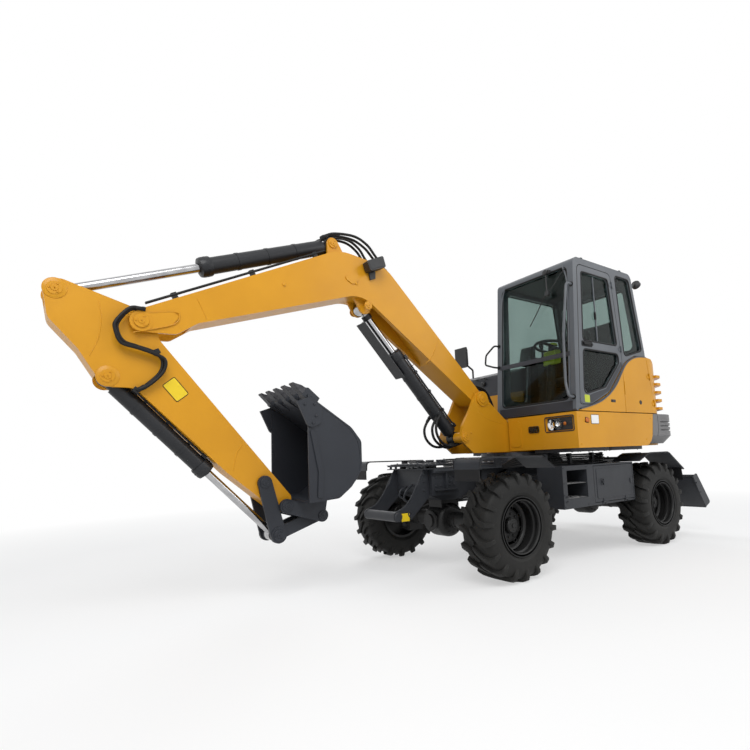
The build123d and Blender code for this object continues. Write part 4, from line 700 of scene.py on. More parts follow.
for name, side in (("left", 1), ("right", -1)):
    y = -WHEELBASE / 2
    for s, c in circle(10, 76):
        bolt((side * 660, y + s, TYRE_R + c), (-side, 0, 0), 7)
    lathe([(0, 93), (4, 97), (16, 97), (20, 93)], (side * 660, y, TYRE_R), (side, 0, 0), 40)
    lathe([(0, 93), (4, 96), (10, 96), (14, 93)], (side * 724, y, TYRE_R), (side, 0, 0), 40)
    knob([(-22, 18), (22, 18), (28, 12)], (side * 566, y + 168, TYRE_R - 2), UPWARD, 20)
    piece("knuckle_trim_" + name, "black", "knuckle_" + name)

# Joints of the drive shafts

for y, way in ((-250, -1), (250, 1)):
    lathe([(-60, 37), (-60, 62), (-46, 66), (-40, 66), (-36, 50), (30, 50), (36, 66), (46, 66), (60, 58),
           (60, 37)], (0, y, TYRE_R), (0, way, 0), 28)
    for s, c in circle(8, 56):
        bolt((s, y - way * 38, TYRE_R + c), (0, way, 0), 5)
    lathe([(-30, 37), (-30, 58), (-14, 62), (30, 62), (34, 37)], (0, way * 800, TYRE_R), (0, way, 0), 28)
for x in (-86, 86):
    for z in (390, 440, 500):
        for way in (-1, 1):
            bolt((x, way * 149.8, z), (0, way, 0), 9)
piece("drive_joints", "black", "undercarriage")

# Steering ram

tube([(-250, -910, 424), (250, -910, 424)], 26, 20)
for side in (-1, 1):
    tube([(side * 250, -910, 424), (side * 380, -908, 422)], 14, 16)
    lathe([(-20, 27), (-20, 31), (12, 31), (14, 15)], (side * 240, -910, 424), (side, 0, 0), 24)
    prism(rect(side * 110 - 22, side * 110 + 22, -1000, -884, 8), "z", 396, 452)
piece("steering_ram", "cylinder", "undercarriage")


# Frame, deck, boxes and fenders

BOX_FACE = 872
CRADLE_HALF = 226


def lozenges(u0, u1, v0, v1, z, pitch=34):
    """Adds the raised tread of a plate: short bars in turn at plus and minus 45 degrees."""
    rows = int((v1 - v0) / pitch)
    columns = int((u1 - u0) / pitch)
    for i in range(columns):
        for j in range(rows):
            u = u0 + (i + 0.5) * (u1 - u0) / columns
            v = v0 + (j + 0.5) * (v1 - v0) / rows
            a = pi / 4 * (1 if (i + j) % 2 else -1)
            corners = [(u + p * cos(a) - q * sin(a), v + p * sin(a) + q * cos(a))
                       for p, q in ((-13, 0), (-7, 3.2), (7, 3.2), (13, 0), (7, -3.2), (-7, -3.2))]
            low = [bm.verts.new(at(*c, z - 0.4)) for c in corners]
            top = [bm.verts.new(at(u + (c[0] - u) * 0.7, v + (c[1] - v) * 0.7, z + 2.2)) for c in corners]
            bm.faces.new(low[::-1])
            bm.faces.new(top)
            for k in range(6):
                n = (k + 1) % 6
                bm.faces.new((low[k], low[n], top[n], top[k]))


DECK = 906
HATCH = 912
LID = 919
lozenges(-270, 270, -1460, -520, DECK)
piece("deck_tread", "worn", "undercarriage", smooth=30)

prism(rect(-292, 292, -1478, -1120, 18), "z", DECK + 0.4, HATCH)
prism(rect(-186, 186, -1500, -1190, 14), "z", HATCH, LID)
for x in (-150, 0, 150):
    prism(rect(x - 34, x + 34, -1240, -1160, 8), "z", HATCH, LID + 11)
    tube([(x - 52, -1200, 938), (x + 52, -1200, 938)], 9, 14)
bolts((-150, -50, 50, 150), (-1450, -1300), (LID,), UPWARD, 10)
bolts((-262, 262), (-1440, -1300, -1160), (HATCH,), UPWARD, 9)
prism(rect(-300, 300, -1466, -1128, 10), "z", 870.3, 878)
for x in (-250, -170, -90, 90, 170, 250):
    knob([(-1, 11), (20, 11), (21, 8)], (x, -1454, 878), UPWARD, 12)
piece("hatch_plates", "slate", "undercarriage", smooth=30, bevel=1.2)

lozenges(-176, 176, -1494, -1250, LID, 30)
piece("hatch_tread", "worn", "undercarriage", smooth=30)

# Brackets and bolts of the frame

for side in (-1, 1):
    x = side * 262
    prism([(-1370, 690), (-1130, 690), (-1130, 702), (-1370, 702)], "x", x, x + side * 26)
    prism([(-1256, 702), (-1244, 702), (-1244, 846), (-1256, 846)], "x", x, x + side * 26)
    prism([(-1398, 838), (-1112, 838), (-1112, 850), (-1398, 850)], "x", x, x + side * 34)
    bolts((x,), (-1350, -1300, -1200, -1150), (730, 800), (side, 0, 0), 11)
    knob([(0, 22), (6, 22), (6, 12), (14, 10)], (x, -1185, 762), (side, 0, 0), 20)
    bolts((x,), (-760, -520, 520, 760), (640, 700, 760), (side, 0, 0), 12)
for s, c in circle(36, 409, 0.06):
    bolt((s, c, 905), UPWARD, 8)
for side in (-1, 1):
    for y in (-1010, 1010):
        for dx in (320, 372):
            bolt((side * dx, y, 892), UPWARD, 11)
        bolt((side * (640 + 14), y - 16, 946 if y < 0 else 920.4), UPWARD, 4)
piece("frame_bolts", "slate", "undercarriage", bevel=0.8)

# Forked nose with its yellow plate

for side in (-1, 1):
    edge = [(-1440, 869), (-1500, 777), (-1560, 676), (-1640, 585), (-1722, 549)]
    line = spline([(side * 216, y, z + 2) for y, z in edge], 5)
    tube(line, 5, 8)
    knob([(-2, 34), (2, 37), (8, 37), (12, 32)], (side * CRADLE_HALF, -1722, 508), (side, 0, 0), 36)
    bolts((side * CRADLE_HALF,), (-1450,), (700, 770, 830), (side, 0, 0), 12)
    lathe([(0, 16), (0, 27), (5, 27), (5, 16)], (side * CRADLE_HALF, -1600, 520), (side, 0, 0), 24)
tube(spline([(-60, -1428, 720), (-60, -1480, 700), (-60, -1500, 650), (-60, -1440, 610)], 6), 9, 10)
tube(spline([(30, -1428, 740), (36, -1500, 690), (20, -1510, 620), (20, -1440, 590)], 6), 9, 10)
piece("cradle_trim", "slate", "undercarriage", bevel=0.8)

prism(rect(-1690, -1610, 468, 532, 6), "x", CRADLE_HALF + 0.2, CRADLE_HALF + 3)
piece("cradle_plate", "sign_yellow", "undercarriage", smooth=30, bevel=0.6)
loop_seal(rect(-1693, -1607, 465, 535, 8), "x", 228, 3)
piece("cradle_plate_rim", "seal", "undercarriage", smooth=30)

# Step and tool boxes

for side, name in ((1, "left"), (-1, "right")):
    for z in (566, 690):
        prism(rect(side * 664, side * 862, -404, -120, 8), "z", z + 0.3, z + 5)
        lozenges(min(side * 670, side * 856), max(side * 670, side * 856), -398, -126, z + 5, 27)
    prism([(-404, 690), (-398, 690), (-398, 700), (-404, 700)], "x", side * 664, side * 862)
    piece("step_treads_" + name, "worn", "undercarriage", smooth=30, bevel=0.6)
    face = side * BOX_FACE
    bolts((face,), (-446, -120, 628), (500, 600, 700, 828), (side, 0, 0), 6)
    for z in (540, 580):
        tube(spline([(face - side * 4, -440, z), (face + side * 16, -430, z), (face + side * 16, -424, z + 6),
                     (face - side * 4, -418, z + 6)], 4), 3, 8)
    piece("box_bolts_" + name, "slate", "undercarriage")
    prism(rect(20, 560, 534, 800, 20), "x", face + side * 0.2, face + side * 3.5)
    knob([(10, 16), (17, 16), (20, 12)], (face, 105, 682), (side, 0, 0), 24)
    prism(rect(99, 111, 652, 712, 5), "x", face + side * 12, face + side * 24)
    loop_seal(rect(-12, 614, 508, 824, 10), "x", face - side * 6, 3)
    piece("box_door_trim_" + name, "slate", "toolbox_door_" + name, bevel=1.0)

# Rolled rims of the wheel covers

for side in (-1, 1):
    for x in (637, 933):
        front = [(-1476, 868), (-1471, 946), (-1440, 951), (-790, 945), (-640, 850)]
        rear = [(664, 853), (820, 912), (870, 925), (1220, 925), (1260, 912), (1538, 736)]
        for line in (front, rear):
            tube([(side * x, y, z) for y, z in line], 4.5, 8)
    bolts((side * 700,), (-1380, -1100, -900), (949,), UPWARD, 6)
    prism([(1500, 760), (1506, 763), (1536, 620), (1530, 618)], "x", side * 650, side * 920)
    prism([(-1476, 866), (-1470, 866), (-1470, 780), (-1476, 780)], "x", side * 650, side * 920)
piece("fender_rims", "seal", "undercarriage")

# Hoses along the frame

for side in (-1, 1):
    for shift in (0, 26):
        tube(spline([(side * (180 + shift), -470, 830), (side * (250 + shift), -520, 820),
                     (side * (285 + shift), -640, 780), (side * (250 + shift), -800, 700),
                     (side * (200 + shift), -980, 620), (side * (150 + shift), -1040, 590)], 6), 10, 10)
        tube(spline([(side * (100 + shift), 500, 600), (side * (110 + shift), 700, 580),
                     (side * (100 + shift), 900, 590), (side * (60 + shift), 1000, 585)], 6), 9, 10)
    for k in range(5):
        x = side * (560 + 12 * (k % 2))
        z = 862 + 19 * k
        tube(spline([(side * 300, -640, 840 + k), (side * 500, -600, z - 2), (x, -520, z), (x, -100, z + 2),
                     (x, 200, z - 2), (x, 590, z), (side * 500, 640, z - 2), (side * 300, 690, 840 + k)], 6),
             9.2, 10)
piece("frame_hoses", "hose", "undercarriage", smooth=40)
for side in (-1, 1):
    for y in (-300, 60, 420):
        prism(rect(side * 546, side * 586, 846.3, 954, 6), "y", y - 16, y + 16)
piece("hose_clamps", "slate", "undercarriage", bevel=1)

# Plates under the body's floor

BELLY = [
    # x and y limits of each plate
    (446, 880, -306, 270), (446, 880, 280, 850), (-880, -446, 150, 270), (-880, -446, 280, 850),
    (-436, 436, 446, 850),
]
for x0, x1, y0, y1 in BELLY:
    prism(rect(x0, x1, y0, y1, 30), "z", 964, 999.6)
    bolts((x0 + 40, x1 - 40), (y0 + 40, (y0 + y1) / 2, y1 - 40), (964,), (0, 0, -1), 6)
piece("belly_plates", "slate", bevel=3)

# Blade

TOP = (1735, 655)
FOOT = (1931, 304)
for k in range(13):
    x = -870 + k * 145
    bolt((x, *along_run(TOP, FOOT, 370, 24)), (0, 0.873, 0.487), 11)
for side in (-1, 1):
    for place in (0.2, 0.5, 0.8):
        y, z = along_run(TOP, FOOT, 402 * place, -24)
        bolt((side * 950, y, z), (side, 0, 0), 11)
    for x in (120, 480):
        prism([(1722, 470), (1760, 500), (1752, 600), (1726, 630), (1714, 560)], "x", side * x - 7,
              side * x + 7)
    knob([(0, 46), (5, 50), (12, 50), (14, 44)], (side * 330, 1345, 590), (side, 0, 0), 32)
    bolt((side * 344, 1345, 590), (side, 0, 0), 16)
line = [(x, *along_run(TOP, FOOT, 4, -4)) for x in (-936, -400, 400, 936)]
tube(line, 11, 12)
piece("blade_trim", "slate", "blade", bevel=0.8)


# Boom, arm, bucket and cylinders

BOOM_FOOT = (-662, 1503)
BOOM_NOSE = (-3537, 1887)
ARM_TOP = (-3980, 2034)
ARM_TIP = (-2607, 669)
LINK_ON_ARM = (-2752, 840)
LINK_JOINT = (-2658, 473)
LINK_ON_BUCKET = (-2336, 579)
ARM_CYL_BASE = (-2160, 2729)
BUCKET_CYL_BASE = (-3704, 1534)
BOOM_CYL_BASE = (-900, 1137)
BOOM_CYL_TOP = (-1872, 2240)
BOOM_HALF = 120
ARM_HALF = 88
BUCKET_HALF = 345

# Pin caps

PIN_CAPS = [
    # name, pin, outer face, radius, body, finish
    ("boom_foot", BOOM_FOOT, 170, 46, "superstructure", "yellow"),
    ("boom_ram_foot", BOOM_CYL_BASE, 164, 40, "superstructure", "yellow"),
    ("boom_nose", BOOM_NOSE, 132, 44, "boom", "yellow"),
    ("boom_ram_head", BOOM_CYL_TOP, 120, 36, "boom", "yellow"),
    ("arm_ram_foot", ARM_CYL_BASE, 68, 38, "boom", "yellow"),
    ("arm_ram_head", ARM_TOP, ARM_HALF, 40, "arm", "yellow"),
    ("bucket_ram_foot", BUCKET_CYL_BASE, ARM_HALF, 40, "arm", "yellow"),
    ("link_on_arm", LINK_ON_ARM, 116, 36, "guide_links", "bucket"),
    ("link_joint", LINK_JOINT, 124, 40, "guide_links", "bucket"),
    ("arm_tip", ARM_TIP, 146, 38, "bucket", "bucket"),
    ("link_on_bucket", LINK_ON_BUCKET, 146, 34, "bucket", "bucket"),
]
for name, (y, z), face, radius, body, look in PIN_CAPS:
    for side in (-1, 1):
        out = (side, 0, 0)
        knob([(-0.5, radius), (7, radius), (9, radius - 2), (9, 21), (13, 19)], (side * face, y, z), out, 40)
        for s, c in circle(3, radius - 12, 0.5):
            bolt((side * (face + 9), y + s, z + c), out, 7)
        lathe([(13, 3.5), (18, 3.5), (19, 2.6), (21, 3.6), (23, 2.4), (23, 0)], (side * face, y, z), out, 10)
    piece("pin_caps_" + name, look, body)


def weld(line, x, radius=4.0):
    """Adds a weld bead with its ripples along a side-view line."""
    fine = spline([(x, y, z) for y, z in line], 12)
    tube(fine, lambda t: radius * (1 + 0.12 * sin(t * len(fine) * 2.1)), 7)


# Welds and bosses of the boom and the arm

for side in (-1, 1):
    x = side * (BOOM_HALF - 1)
    weld([(-3209, 2085), (-3186, 2040), (-3162, 1990), (-3146, 1950)], x + side * 1.5, 3)
    weld([(-3613, 1918), (-3360, 1970), (-3318, 1945), (-3359, 1884), (-3580, 1808)], x + side * 9, 3.2)
    weld([(-1150, 2000), (-1180, 1930), (-1230, 1850), (-1290, 1800)], x + side * 1.5, 3)
    prism(rounded([(-2102, 2443), (-1988, 2506), (-1944, 2452), (-2014, 2392)], 34, 6), "x", x, x + side * 9)
    for shift in (0, 1):
        knob([(0, 13), (5, 13), (7, 10)], (x + side, -2600 + 620 * shift, 2290 + 120 * shift), (side, 0, 0),
             20)
piece("boom_welds", "yellow", "boom", smooth=50)

for side in (-1, 1):
    x = side * ARM_HALF
    weld([(-3760, 1990), (-3745, 1880), (-3760, 1750), (-3800, 1650)], x, 2.6)
    weld([(-2900, 1110), (-2940, 1040), (-2960, 930)], x, 2.6)
    knob([(-4, 64), (3, 64), (5, 61)], (x, *BUCKET_CYL_BASE), (side, 0, 0), 44)
    knob([(-4, 62), (3, 62), (5, 59)], (x, *ARM_TOP), (side, 0, 0), 44)
piece("arm_welds", "yellow", "arm", smooth=50)

for low, high in ((ARM_HALF + 0.2, ARM_HALF + 2.2), (-ARM_HALF - 2.2, -ARM_HALF - 0.2)):
    prism(rounded([(-3402, 1492), (-3318, 1392), (-3252, 1446), (-3336, 1548)], 8), "x", low, high)
piece("arm_plates", "sign_yellow", "arm", bevel=0.4)
for side in (-1, 1):
    loop_seal(rounded([(-3405, 1492), (-3318, 1389), (-3249, 1446), (-3336, 1551)], 10), "x",
              side * (ARM_HALF + 2), 2.2)
piece("arm_plate_rims", "seal", "arm")

# Cylinders: gland, port blocks, oil pipe with its straps

RAMS = [
    # name, base pin, head pin, barrel length, barrel radius, then the pipe's side, offset in x and drop
    ("arm", ARM_CYL_BASE, ARM_TOP, 1076, 60, -1, -42, 16),
    ("bucket", BUCKET_CYL_BASE, LINK_JOINT, 845, 52, 1, 24, 0),
    ("boom", BOOM_CYL_BASE, BOOM_CYL_TOP, 1000, 62, -1, 34, 8),
    ("blade", (1230, 800), (1700, 560), 350, 38, 1, 0, 0),
]
# Pipe radius, half size of its port blocks, foot beyond the barrel's radius, bends back from the end, straps
LONG_RAM = (8, 17, 46, (92, 120, 160), (0.3, 0.52, 0.74))
SHORT_RAM = (5, 11, 30, (60, 76, 100), (0.5,))
LONG = 500


def ram_trim(name, base, head, length, radius, face, offset, drop):
    """Gland, straps, port blocks and oil pipe of one barrel, and the wiper at its mouth."""
    pipe, port, foot, bends, straps = LONG_RAM if length > LONG else SHORT_RAM
    body = name + "_ram_barrel"
    span = hypot(head[0] - base[0], head[1] - base[1])
    run = Vector((0, (head[0] - base[0]) / span, (head[1] - base[1]) / span))
    lift = Vector((0, -run.z, run.y))
    sideways = Vector(LEFTWARD)

    def on(along, across=0.0, x=0.0):
        return (x, *along_run(base, head, along, across))

    def pad(along, long, low, high, wide):
        """Adds a block under the pipe, between two heights over the barrel."""
        corners = ((-long, low), (long, low), (long, high), (-long, high))
        prism([on(along + a, face * (radius + b - drop))[1:] for a, b in corners], "x", offset - wide,
              offset + wide)

    lathe([(-74, radius + 6), (-74, radius + 9), (-66, radius + 11), (-16, radius + 11), (-6, radius + 8),
           (0.4, radius + 6), (3, radius * 0.8), (7, radius * 0.72), (7, radius * 0.53)], on(length), run, 48)
    for k in range(12):
        a = 2 * pi * k / 12
        out = sideways * cos(a) + lift * sin(a)
        spot = Vector(on(length - 40)) + out * (radius + 10.6)
        knob([(0, 6), (1.6, 6), (2.2, 4.5)], spot, out, 10)
    for share in straps:
        along = length * share
        lathe([(-11, radius - 1), (-11, radius + 3.2), (11, radius + 3.2), (11, radius - 1)], on(along), run,
              40)
        pad(along, 11, -4, 19, 13)
        bolt(on(along, face * (radius + 19 - drop), offset), lift * face, 5)
    start = radius + foot
    for along in (start, length - bends[0]):
        pad(along, port, -6, 20, port)
    stops = zip([length - bend for bend in bends] + [start + 90, start + 40, start + 18],
                (16, 17, 9, 9, 9, 19))
    line = [on(along, face * (radius + rise - drop), offset) for along, rise in stops]
    tube(spline(line, 6), pipe)
    piece(name + "_ram_trim", "cylinder", body, bevel=0.8)
    lathe([(-3, radius * 0.51), (-3, radius * 0.6), (2, radius * 0.58), (4, radius * 0.51)], on(length + 7),
          run, 40)
    piece(name + "_ram_wiper", "seal", body, smooth=40)


for row in RAMS:
    ram_trim(*row)

# Hoses of the front

for shift, x in ((0, 34), (16, 62), (30, -34), (18, -62)):
    points = [(x, -2248, 2768 - shift * 0.2), (x * 1.1, -2150, 2810 + shift * 0.4),
              (x * 1.25, -1966, 2818 + shift), (x * 1.4, -1850, 2770 + shift),
              (x * 1.5, -1784, 2708 + shift * 0.4), (x * 1.5, -1716, 2636), (x * 1.5, -1640, 2556)]
    hose(points, 11)
piece("crest_hoses", "hose", "boom", smooth=40)

for x in (51, 93, -51, -93):
    line = [(x, *p) for p in ((-1640, 2556), (-1560, 2470), (-1450, 2350), (-1300, 2184), (-1120, 1986),
                              (-960, 1808), (-850, 1700))]
    tube(spline(line, 6), 9, 12)
for y, z in ((-1500, 2408), (-1230, 2112), (-980, 1836)):
    for side in (-1, 1):
        prism([(y - 14, z - 26), (y + 18, z - 60), (y + 40, z - 34), (y + 8, z + 4)], "x", side * 34,
              side * 110)
piece("boom_back_pipes", "black", "boom", smooth=40, bevel=0.8)


def joined(name, look):
    """Piece that spans one joint between two bodies; it rides on neither and is baked where it stands."""
    obj = piece(name, look, None, smooth=40)
    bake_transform(obj)


for x, out in ((128, 0), (146, 14)):
    points = [(x - 14, -3520, 1962), (x, -3600, 1948 + out * 0.6), (x + 4, -3662 - out, 1863),
              (x + 4, -3663 - out, 1803), (x + 2, -3630 - out, 1747 - out), (x, -3558, 1724 - out),
              (x, -3463, 1695 - out), (x - 4, -3414 + out, 1645), (x - 8, -3427 + out, 1567),
              (x - 16, -3500 + out, 1486), (x - 34, -3548, 1452)]
    hose(points, 10.5)
joined("arm_side_hoses", "hose")

for x in (96, 112):
    prism([(-3468, 1706), (-3440, 1722), (-3424, 1694), (-3452, 1678)], "x", ARM_HALF + 0.2, x + 26)
prism([(-3560, 1476), (-3528, 1452), (-3546, 1426), (-3578, 1450)], "x", 60, 118)
piece("arm_hose_clamps", "black", "arm", bevel=1)

for x, sag in ((74, 0), (40, 14), (-74, 6)):
    points = [(x, -800, 1118), (x * 1.05, -920, 1078), (x * 1.1, -1010, 1066 - sag),
              (x * 1.15, -1094, 1082 - sag), (x * 1.15, -1158 - sag, 1146 - sag),
              (x * 1.1, -1176 - sag, 1222), (x, -1150, 1296), (x * 0.95, -1118, 1340)]
    hose(points, 12)
joined("boom_ram_hoses", "hose")

for x in (52, 84, -52, -84):
    points = [(x, -870, 1724), (x * 1.1, -800, 1668), (x * 1.15, -690, 1632), (x * 1.1, -560, 1600),
              (x, -470, 1500), (x, -430, 1380), (x * 0.9, -420, 1250)]
    hose(points, 11)
joined("boom_foot_hoses", "hose")

# Work lamp on the boom

prism(rounded([(-1914, 2584), (-1780, 2648), (-1756, 2576), (-1886, 2516)], 16), "x", 143, 214)
knob([(0, 5), (30, 5), (34, 9), (40, 9)], (134, -1832, 2530), LEFTWARD, 14)
piece("boom_lamp_case", "plastic", "boom", bevel=3)
prism(rounded([(-1925, 2574), (-1918, 2578), (-1888, 2516), (-1895, 2512)], 2), "x", 150, 206)
piece("boom_lamp_glass", "lens", "boom", bevel=1)

# Bucket

LIP = (-2530, 1440)
BACK = (-2170, 1196)
REACH = hypot(LIP[0] - BACK[0], LIP[1] - BACK[1])
TEETH = [(i - 2) * 150 for i in range(5)]


def past_lip(places):
    """Side-view outline from places given as past the lip and across the bucket's floor."""
    return [along_run(BACK, LIP, REACH + along, across) for along, across in places]


for x in TEETH:
    for side in (-1, 1):
        knob([(-1, 10), (3, 10), (5, 7)], (x + side * 31, *along_run(BACK, LIP, REACH - 30, -12)),
             (side, 0, 0), 16)
    cap = past_lip([(-92, -36), (-92, 19), (16, 26), (30, 20), (30, -42), (16, -48)])
    prism(cap, "x", x - 35, x + 35)
piece("tooth_adapters", "bucket", "bucket", bevel=3)
for x in TEETH:
    tooth = past_lip([(26, 17), (70, 10), (133, -2), (133, -10), (70, -34), (26, -38)])
    prism(tooth, "x", x - 32, x + 32)
piece("tooth_tips", "ring", "bucket", bevel=3)

SIDE_EDGE = [(-2510, 1408), (-2400, 1340), (-2240, 1232), (-2150, 1130), (-2124, 1020), (-2128, 900),
             (-2190, 800), (-2290, 726), (-2400, 712)]
for side in (-1, 1):
    x = side * BUCKET_HALF
    weld(SIDE_EDGE, x, 4)
    wear = [(-2520, 1190), (-2480, 1190), (-2420, 900), (-2430, 720), (-2470, 720), (-2462, 900)]
    prism(rounded(wear, 10, 2), "x", x, x + side * 9)
    for y, z in ((-2560, 1370), (-2490, 1372), (-2478, 1290), (-2500, 1240)):
        bolt((x + side * 16, y, z), (side, 0, 0), 11)
    prism(rounded([(-2508, 1212), (-2440, 1236), (-2430, 1350), (-2520, 1410)], 8, 2), "x", x, x + side * 5)
for x in (-230, 0, 230):
    band = spline([(x, -2180, 1196), (x, -2122, 1120), (x, -2103, 1010), (x, -2106, 900), (x, -2188, 786),
                   (x, -2296, 702)], 6)
    outer = [(p.y, p.z) for p in band]
    inner = [(-2460 + (y + 2460) * 0.975, 1050 + (z - 1050) * 0.97) for y, z in outer[::-1]]
    prism(outer + inner, "x", x - 34, x + 34)
piece("bucket_wear", "bucket", "bucket", bevel=1.5)


# Superstructure

CAB_LOW = 1320
CAB_TOP = 2736
FRONT_LOW = -322
FRONT_TOP = -204
BODY_SIDE = 965
CASE_FRONT = 130
TAIL = 1474
CAB_LEFT = 960
CAB_RIGHT = 22
SWEEP = [(-262, 1330), (-229, 1339), (-100, 1366), (60, 1412), (200, 1480), (330, 1578), (430, 1690),
         (520, 1784), (610, 1836), (700, 1868), (800, 1884), (900, 1889)]


def front_at(z):
    """Y of the cab's front face at a height."""
    return FRONT_LOW + (z - CAB_LOW) / (CAB_TOP - CAB_LOW) * (FRONT_TOP - FRONT_LOW)


def rear_at(z):
    """Y of the cab's rear face above its bend."""
    return 896 - (z - 1934) / (CAB_TOP - 1934) * 146


def strip(line, x0, x1, thick):
    """Adds a band that follows a side-view line, as wide as from x0 to x1."""
    path = [Vector((y, z)) for y, z in line]
    outer = []
    for i, p in enumerate(path):
        along = (path[min(i + 1, len(path) - 1)] - path[max(i - 1, 0)]).normalized()
        outer.append((p.x - along.y * thick, p.y + along.x * thick))
    prism([tuple(p) for p in path] + outer[::-1], "x", x0, x1)


# Band under the cab's side, and what is fixed to the left panels

PANEL_EDGE = [(-262, 1342), (-229, 1350), (-100, 1377), (60, 1434), (143, 1467), (196, 1495), (239, 1537),
              (487, 1785), (518, 1809), (556, 1828), (700, 1882), (800, 1894), (890, 1898)]
fine_sweep = [(p.y, p.z) for p in spline([(0, y, z) for y, z in SWEEP], 4)]
prism(fine_sweep[:-1] + PANEL_EDGE[::-1], "x", BODY_SIDE + 0.1, BODY_SIDE + 3.5)
piece("sweep_trim", "dark_cab", smooth=50)
tube([(BODY_SIDE + 2, y, z) for y, z in fine_sweep], 3.2, 8)
piece("sweep_bead", "cab", smooth=50)

prism(rect(212, 286, 1408, 1434, 8), "x", BODY_SIDE + 0.1, BODY_SIDE + 3)
prism(rect(222, 262, 1414, 1428, 5), "x", BODY_SIDE + 3, BODY_SIDE + 8)
piece("panel_latch", "plastic", bevel=1)
knob([(0, 21), (3, 21), (4.5, 18), (4.5, 12), (2, 11)], (BODY_SIDE, 727, 1422), LEFTWARD, 28)
piece("panel_lock", "plastic", "side_door")

prism(rect(-122, -14, 1207, 1283, 5), "x", BODY_SIDE + 0.1, BODY_SIDE + 3.6)
piece("side_plate", "sign_white", bevel=0.8)
prism(rounded([(-214, 1222), (-168, 1218), (-166, 1252), (-206, 1258)], 8), "x", BODY_SIDE + 0.1,
      BODY_SIDE + 12)
piece("side_marker", "amber", smooth=40, bevel=2)
loop_seal(rounded([(-218, 1218), (-164, 1214), (-162, 1256), (-208, 1262)], 10), "x", BODY_SIDE + 1, 3)
loop_seal(rect(-125, -11, 1204, 1286, 7), "x", BODY_SIDE + 1.5, 1.6)
piece("side_marker_rim", "seal", smooth=40)

# Lamps of the front panel

FACE = -330
loop_seal(rect(620, 932, 1149, 1283, 18), "y", FACE - 1, 5)
prism(rect(642, 910, 1160, 1272, 12), "y", FACE + 10, FACE + 13.8)
for x in (836, 884):
    knob([(0, 15), (4, 15), (6, 12)], (x, FACE + 10, 1216), FORWARD, 20)
piece("lamp_bezel", "plastic")
knob([(2, 16), (8, 38), (12, 50), (13, 50), (9, 37), (4, 15)], (700, FACE + 13, 1214), FORWARD, 40)
knob([(2, 12), (8, 26), (12, 32), (13, 32), (9, 25), (4, 11)], (770, FACE + 13, 1216), FORWARD, 32)
piece("lamp_bowls", "mirror", smooth=40)
knob([(0, 15), (5, 15), (8, 11)], (836, FACE + 4, 1216), FORWARD, 20)
piece("turn_lamp", "amber", smooth=40)

for x in (452, 470, 488, 506, 524):
    prism(rect(x - 4, x + 4, 1166, 1202, 3, 2), "y", FACE - 13, FACE - 10)
loop_seal(rect(430, 550, 1156, 1212, 14), "y", FACE - 8, 3)
piece("marker_ribs", "plastic")

# Tail, hood and right-hand panels

for z in (1340, 1400, 1460, 1520, 1580):
    prism(rect(400, 780, z - 9, z + 9, 8, 3), "x", -BODY_SIDE - 3, -BODY_SIDE)
piece("right_grille", "plastic", bevel=0.8)
for x in (-330, 330):
    prism(rect(x - 62, x + 62, 1222, 1262, 12), "y", 1678, 1684)
piece("rear_lamps", "red", bevel=2)
for x in (-330, 330):
    loop_seal(rect(x - 65, x + 65, 1219, 1265, 14), "y", 1680, 4)
piece("rear_lamp_rims", "seal")

for k in range(7):
    x = -150 + k * 50
    prism(rect(x - 14, x + 14, 1420, 1640, 8, 3), "y", TAIL, TAIL + 4.5)
prism(rect(-200, 200, 1392, 1404, 4, 2), "y", TAIL, TAIL + 6)
prism(rect(-200, 200, 1656, 1668, 4, 2), "y", TAIL, TAIL + 6)
piece("hood_grille", "plastic", "hood", bevel=0.8)
tube(spline([(-70, TAIL, 1350), (-70, 1500, 1350), (-60, 1508, 1350), (60, 1508, 1350), (70, 1500, 1350),
             (70, TAIL, 1350)], 5), 7, 10)
knob([(0, 18), (4, 18), (6, 14)], (170, TAIL, 1352), REARWARD, 24)
piece("hood_handle", "plastic", "hood", smooth=40)

for y, z in ((150, 1240), (420, 1240), (690, 1240), (150, 1060), (420, 1060), (690, 1060), (860, 1240)):
    bolt((-BODY_SIDE, y, z), (-1, 0, 0), 9)
for y, z in ((-290, 1270), (880, 1270), (-290, 1030), (300, 1030), (780, 1060)):
    bolt((BODY_SIDE, y, z), LEFTWARD, 6)
bolts((186, 330, 600), (FACE,), (1024,), FORWARD, 6)
bolts((-900, -700, -500, -300), (CASE_FRONT,), (1270, 1040), FORWARD, 8)
piece("panel_bolts", "yellow")

for side in (-1, 1):
    for y, z in ((-760, 1560), (-560, 1450), (-820, 1180)):
        bolt((side * 156, y, z), (side, 0, 0), 9)
    weld([(-720, 1400), (-640, 1330), (-520, 1290), (-360, 1262)], side * 155, 3)
piece("bracket_bolts", "yellow", smooth=40)

# Filler cap, and the front of the right-hand case

knob([(0, 34), (10, 34), (12, 30), (30, 28), (34, 22)], (-700, 420, 1640), UPWARD, 28)
piece("filler_cap", "plastic")
knob([(0, 26), (8, 30), (22, 30), (30, 22)], (-598, CASE_FRONT - 2, 1790), FORWARD, 28)
knob([(30, 12), (34, 12), (36, 8)], (-598, CASE_FRONT - 2, 1790), FORWARD, 20)
loop_seal(rect(-940, -60, 1672, 1886, 40), "y", CASE_FRONT - 1.5, 3)
bolts((-860, -420, -160), (CASE_FRONT,), (1700,), FORWARD, 6)
tube(spline([(-700, CASE_FRONT - 2, 1850), (-700, 96, 1850), (-690, 88, 1850), (-560, 88, 1850),
             (-550, 96, 1850), (-550, CASE_FRONT - 2, 1850)], 5), 8, 10)
piece("case_trim", "plastic", smooth=40)

# Mirror

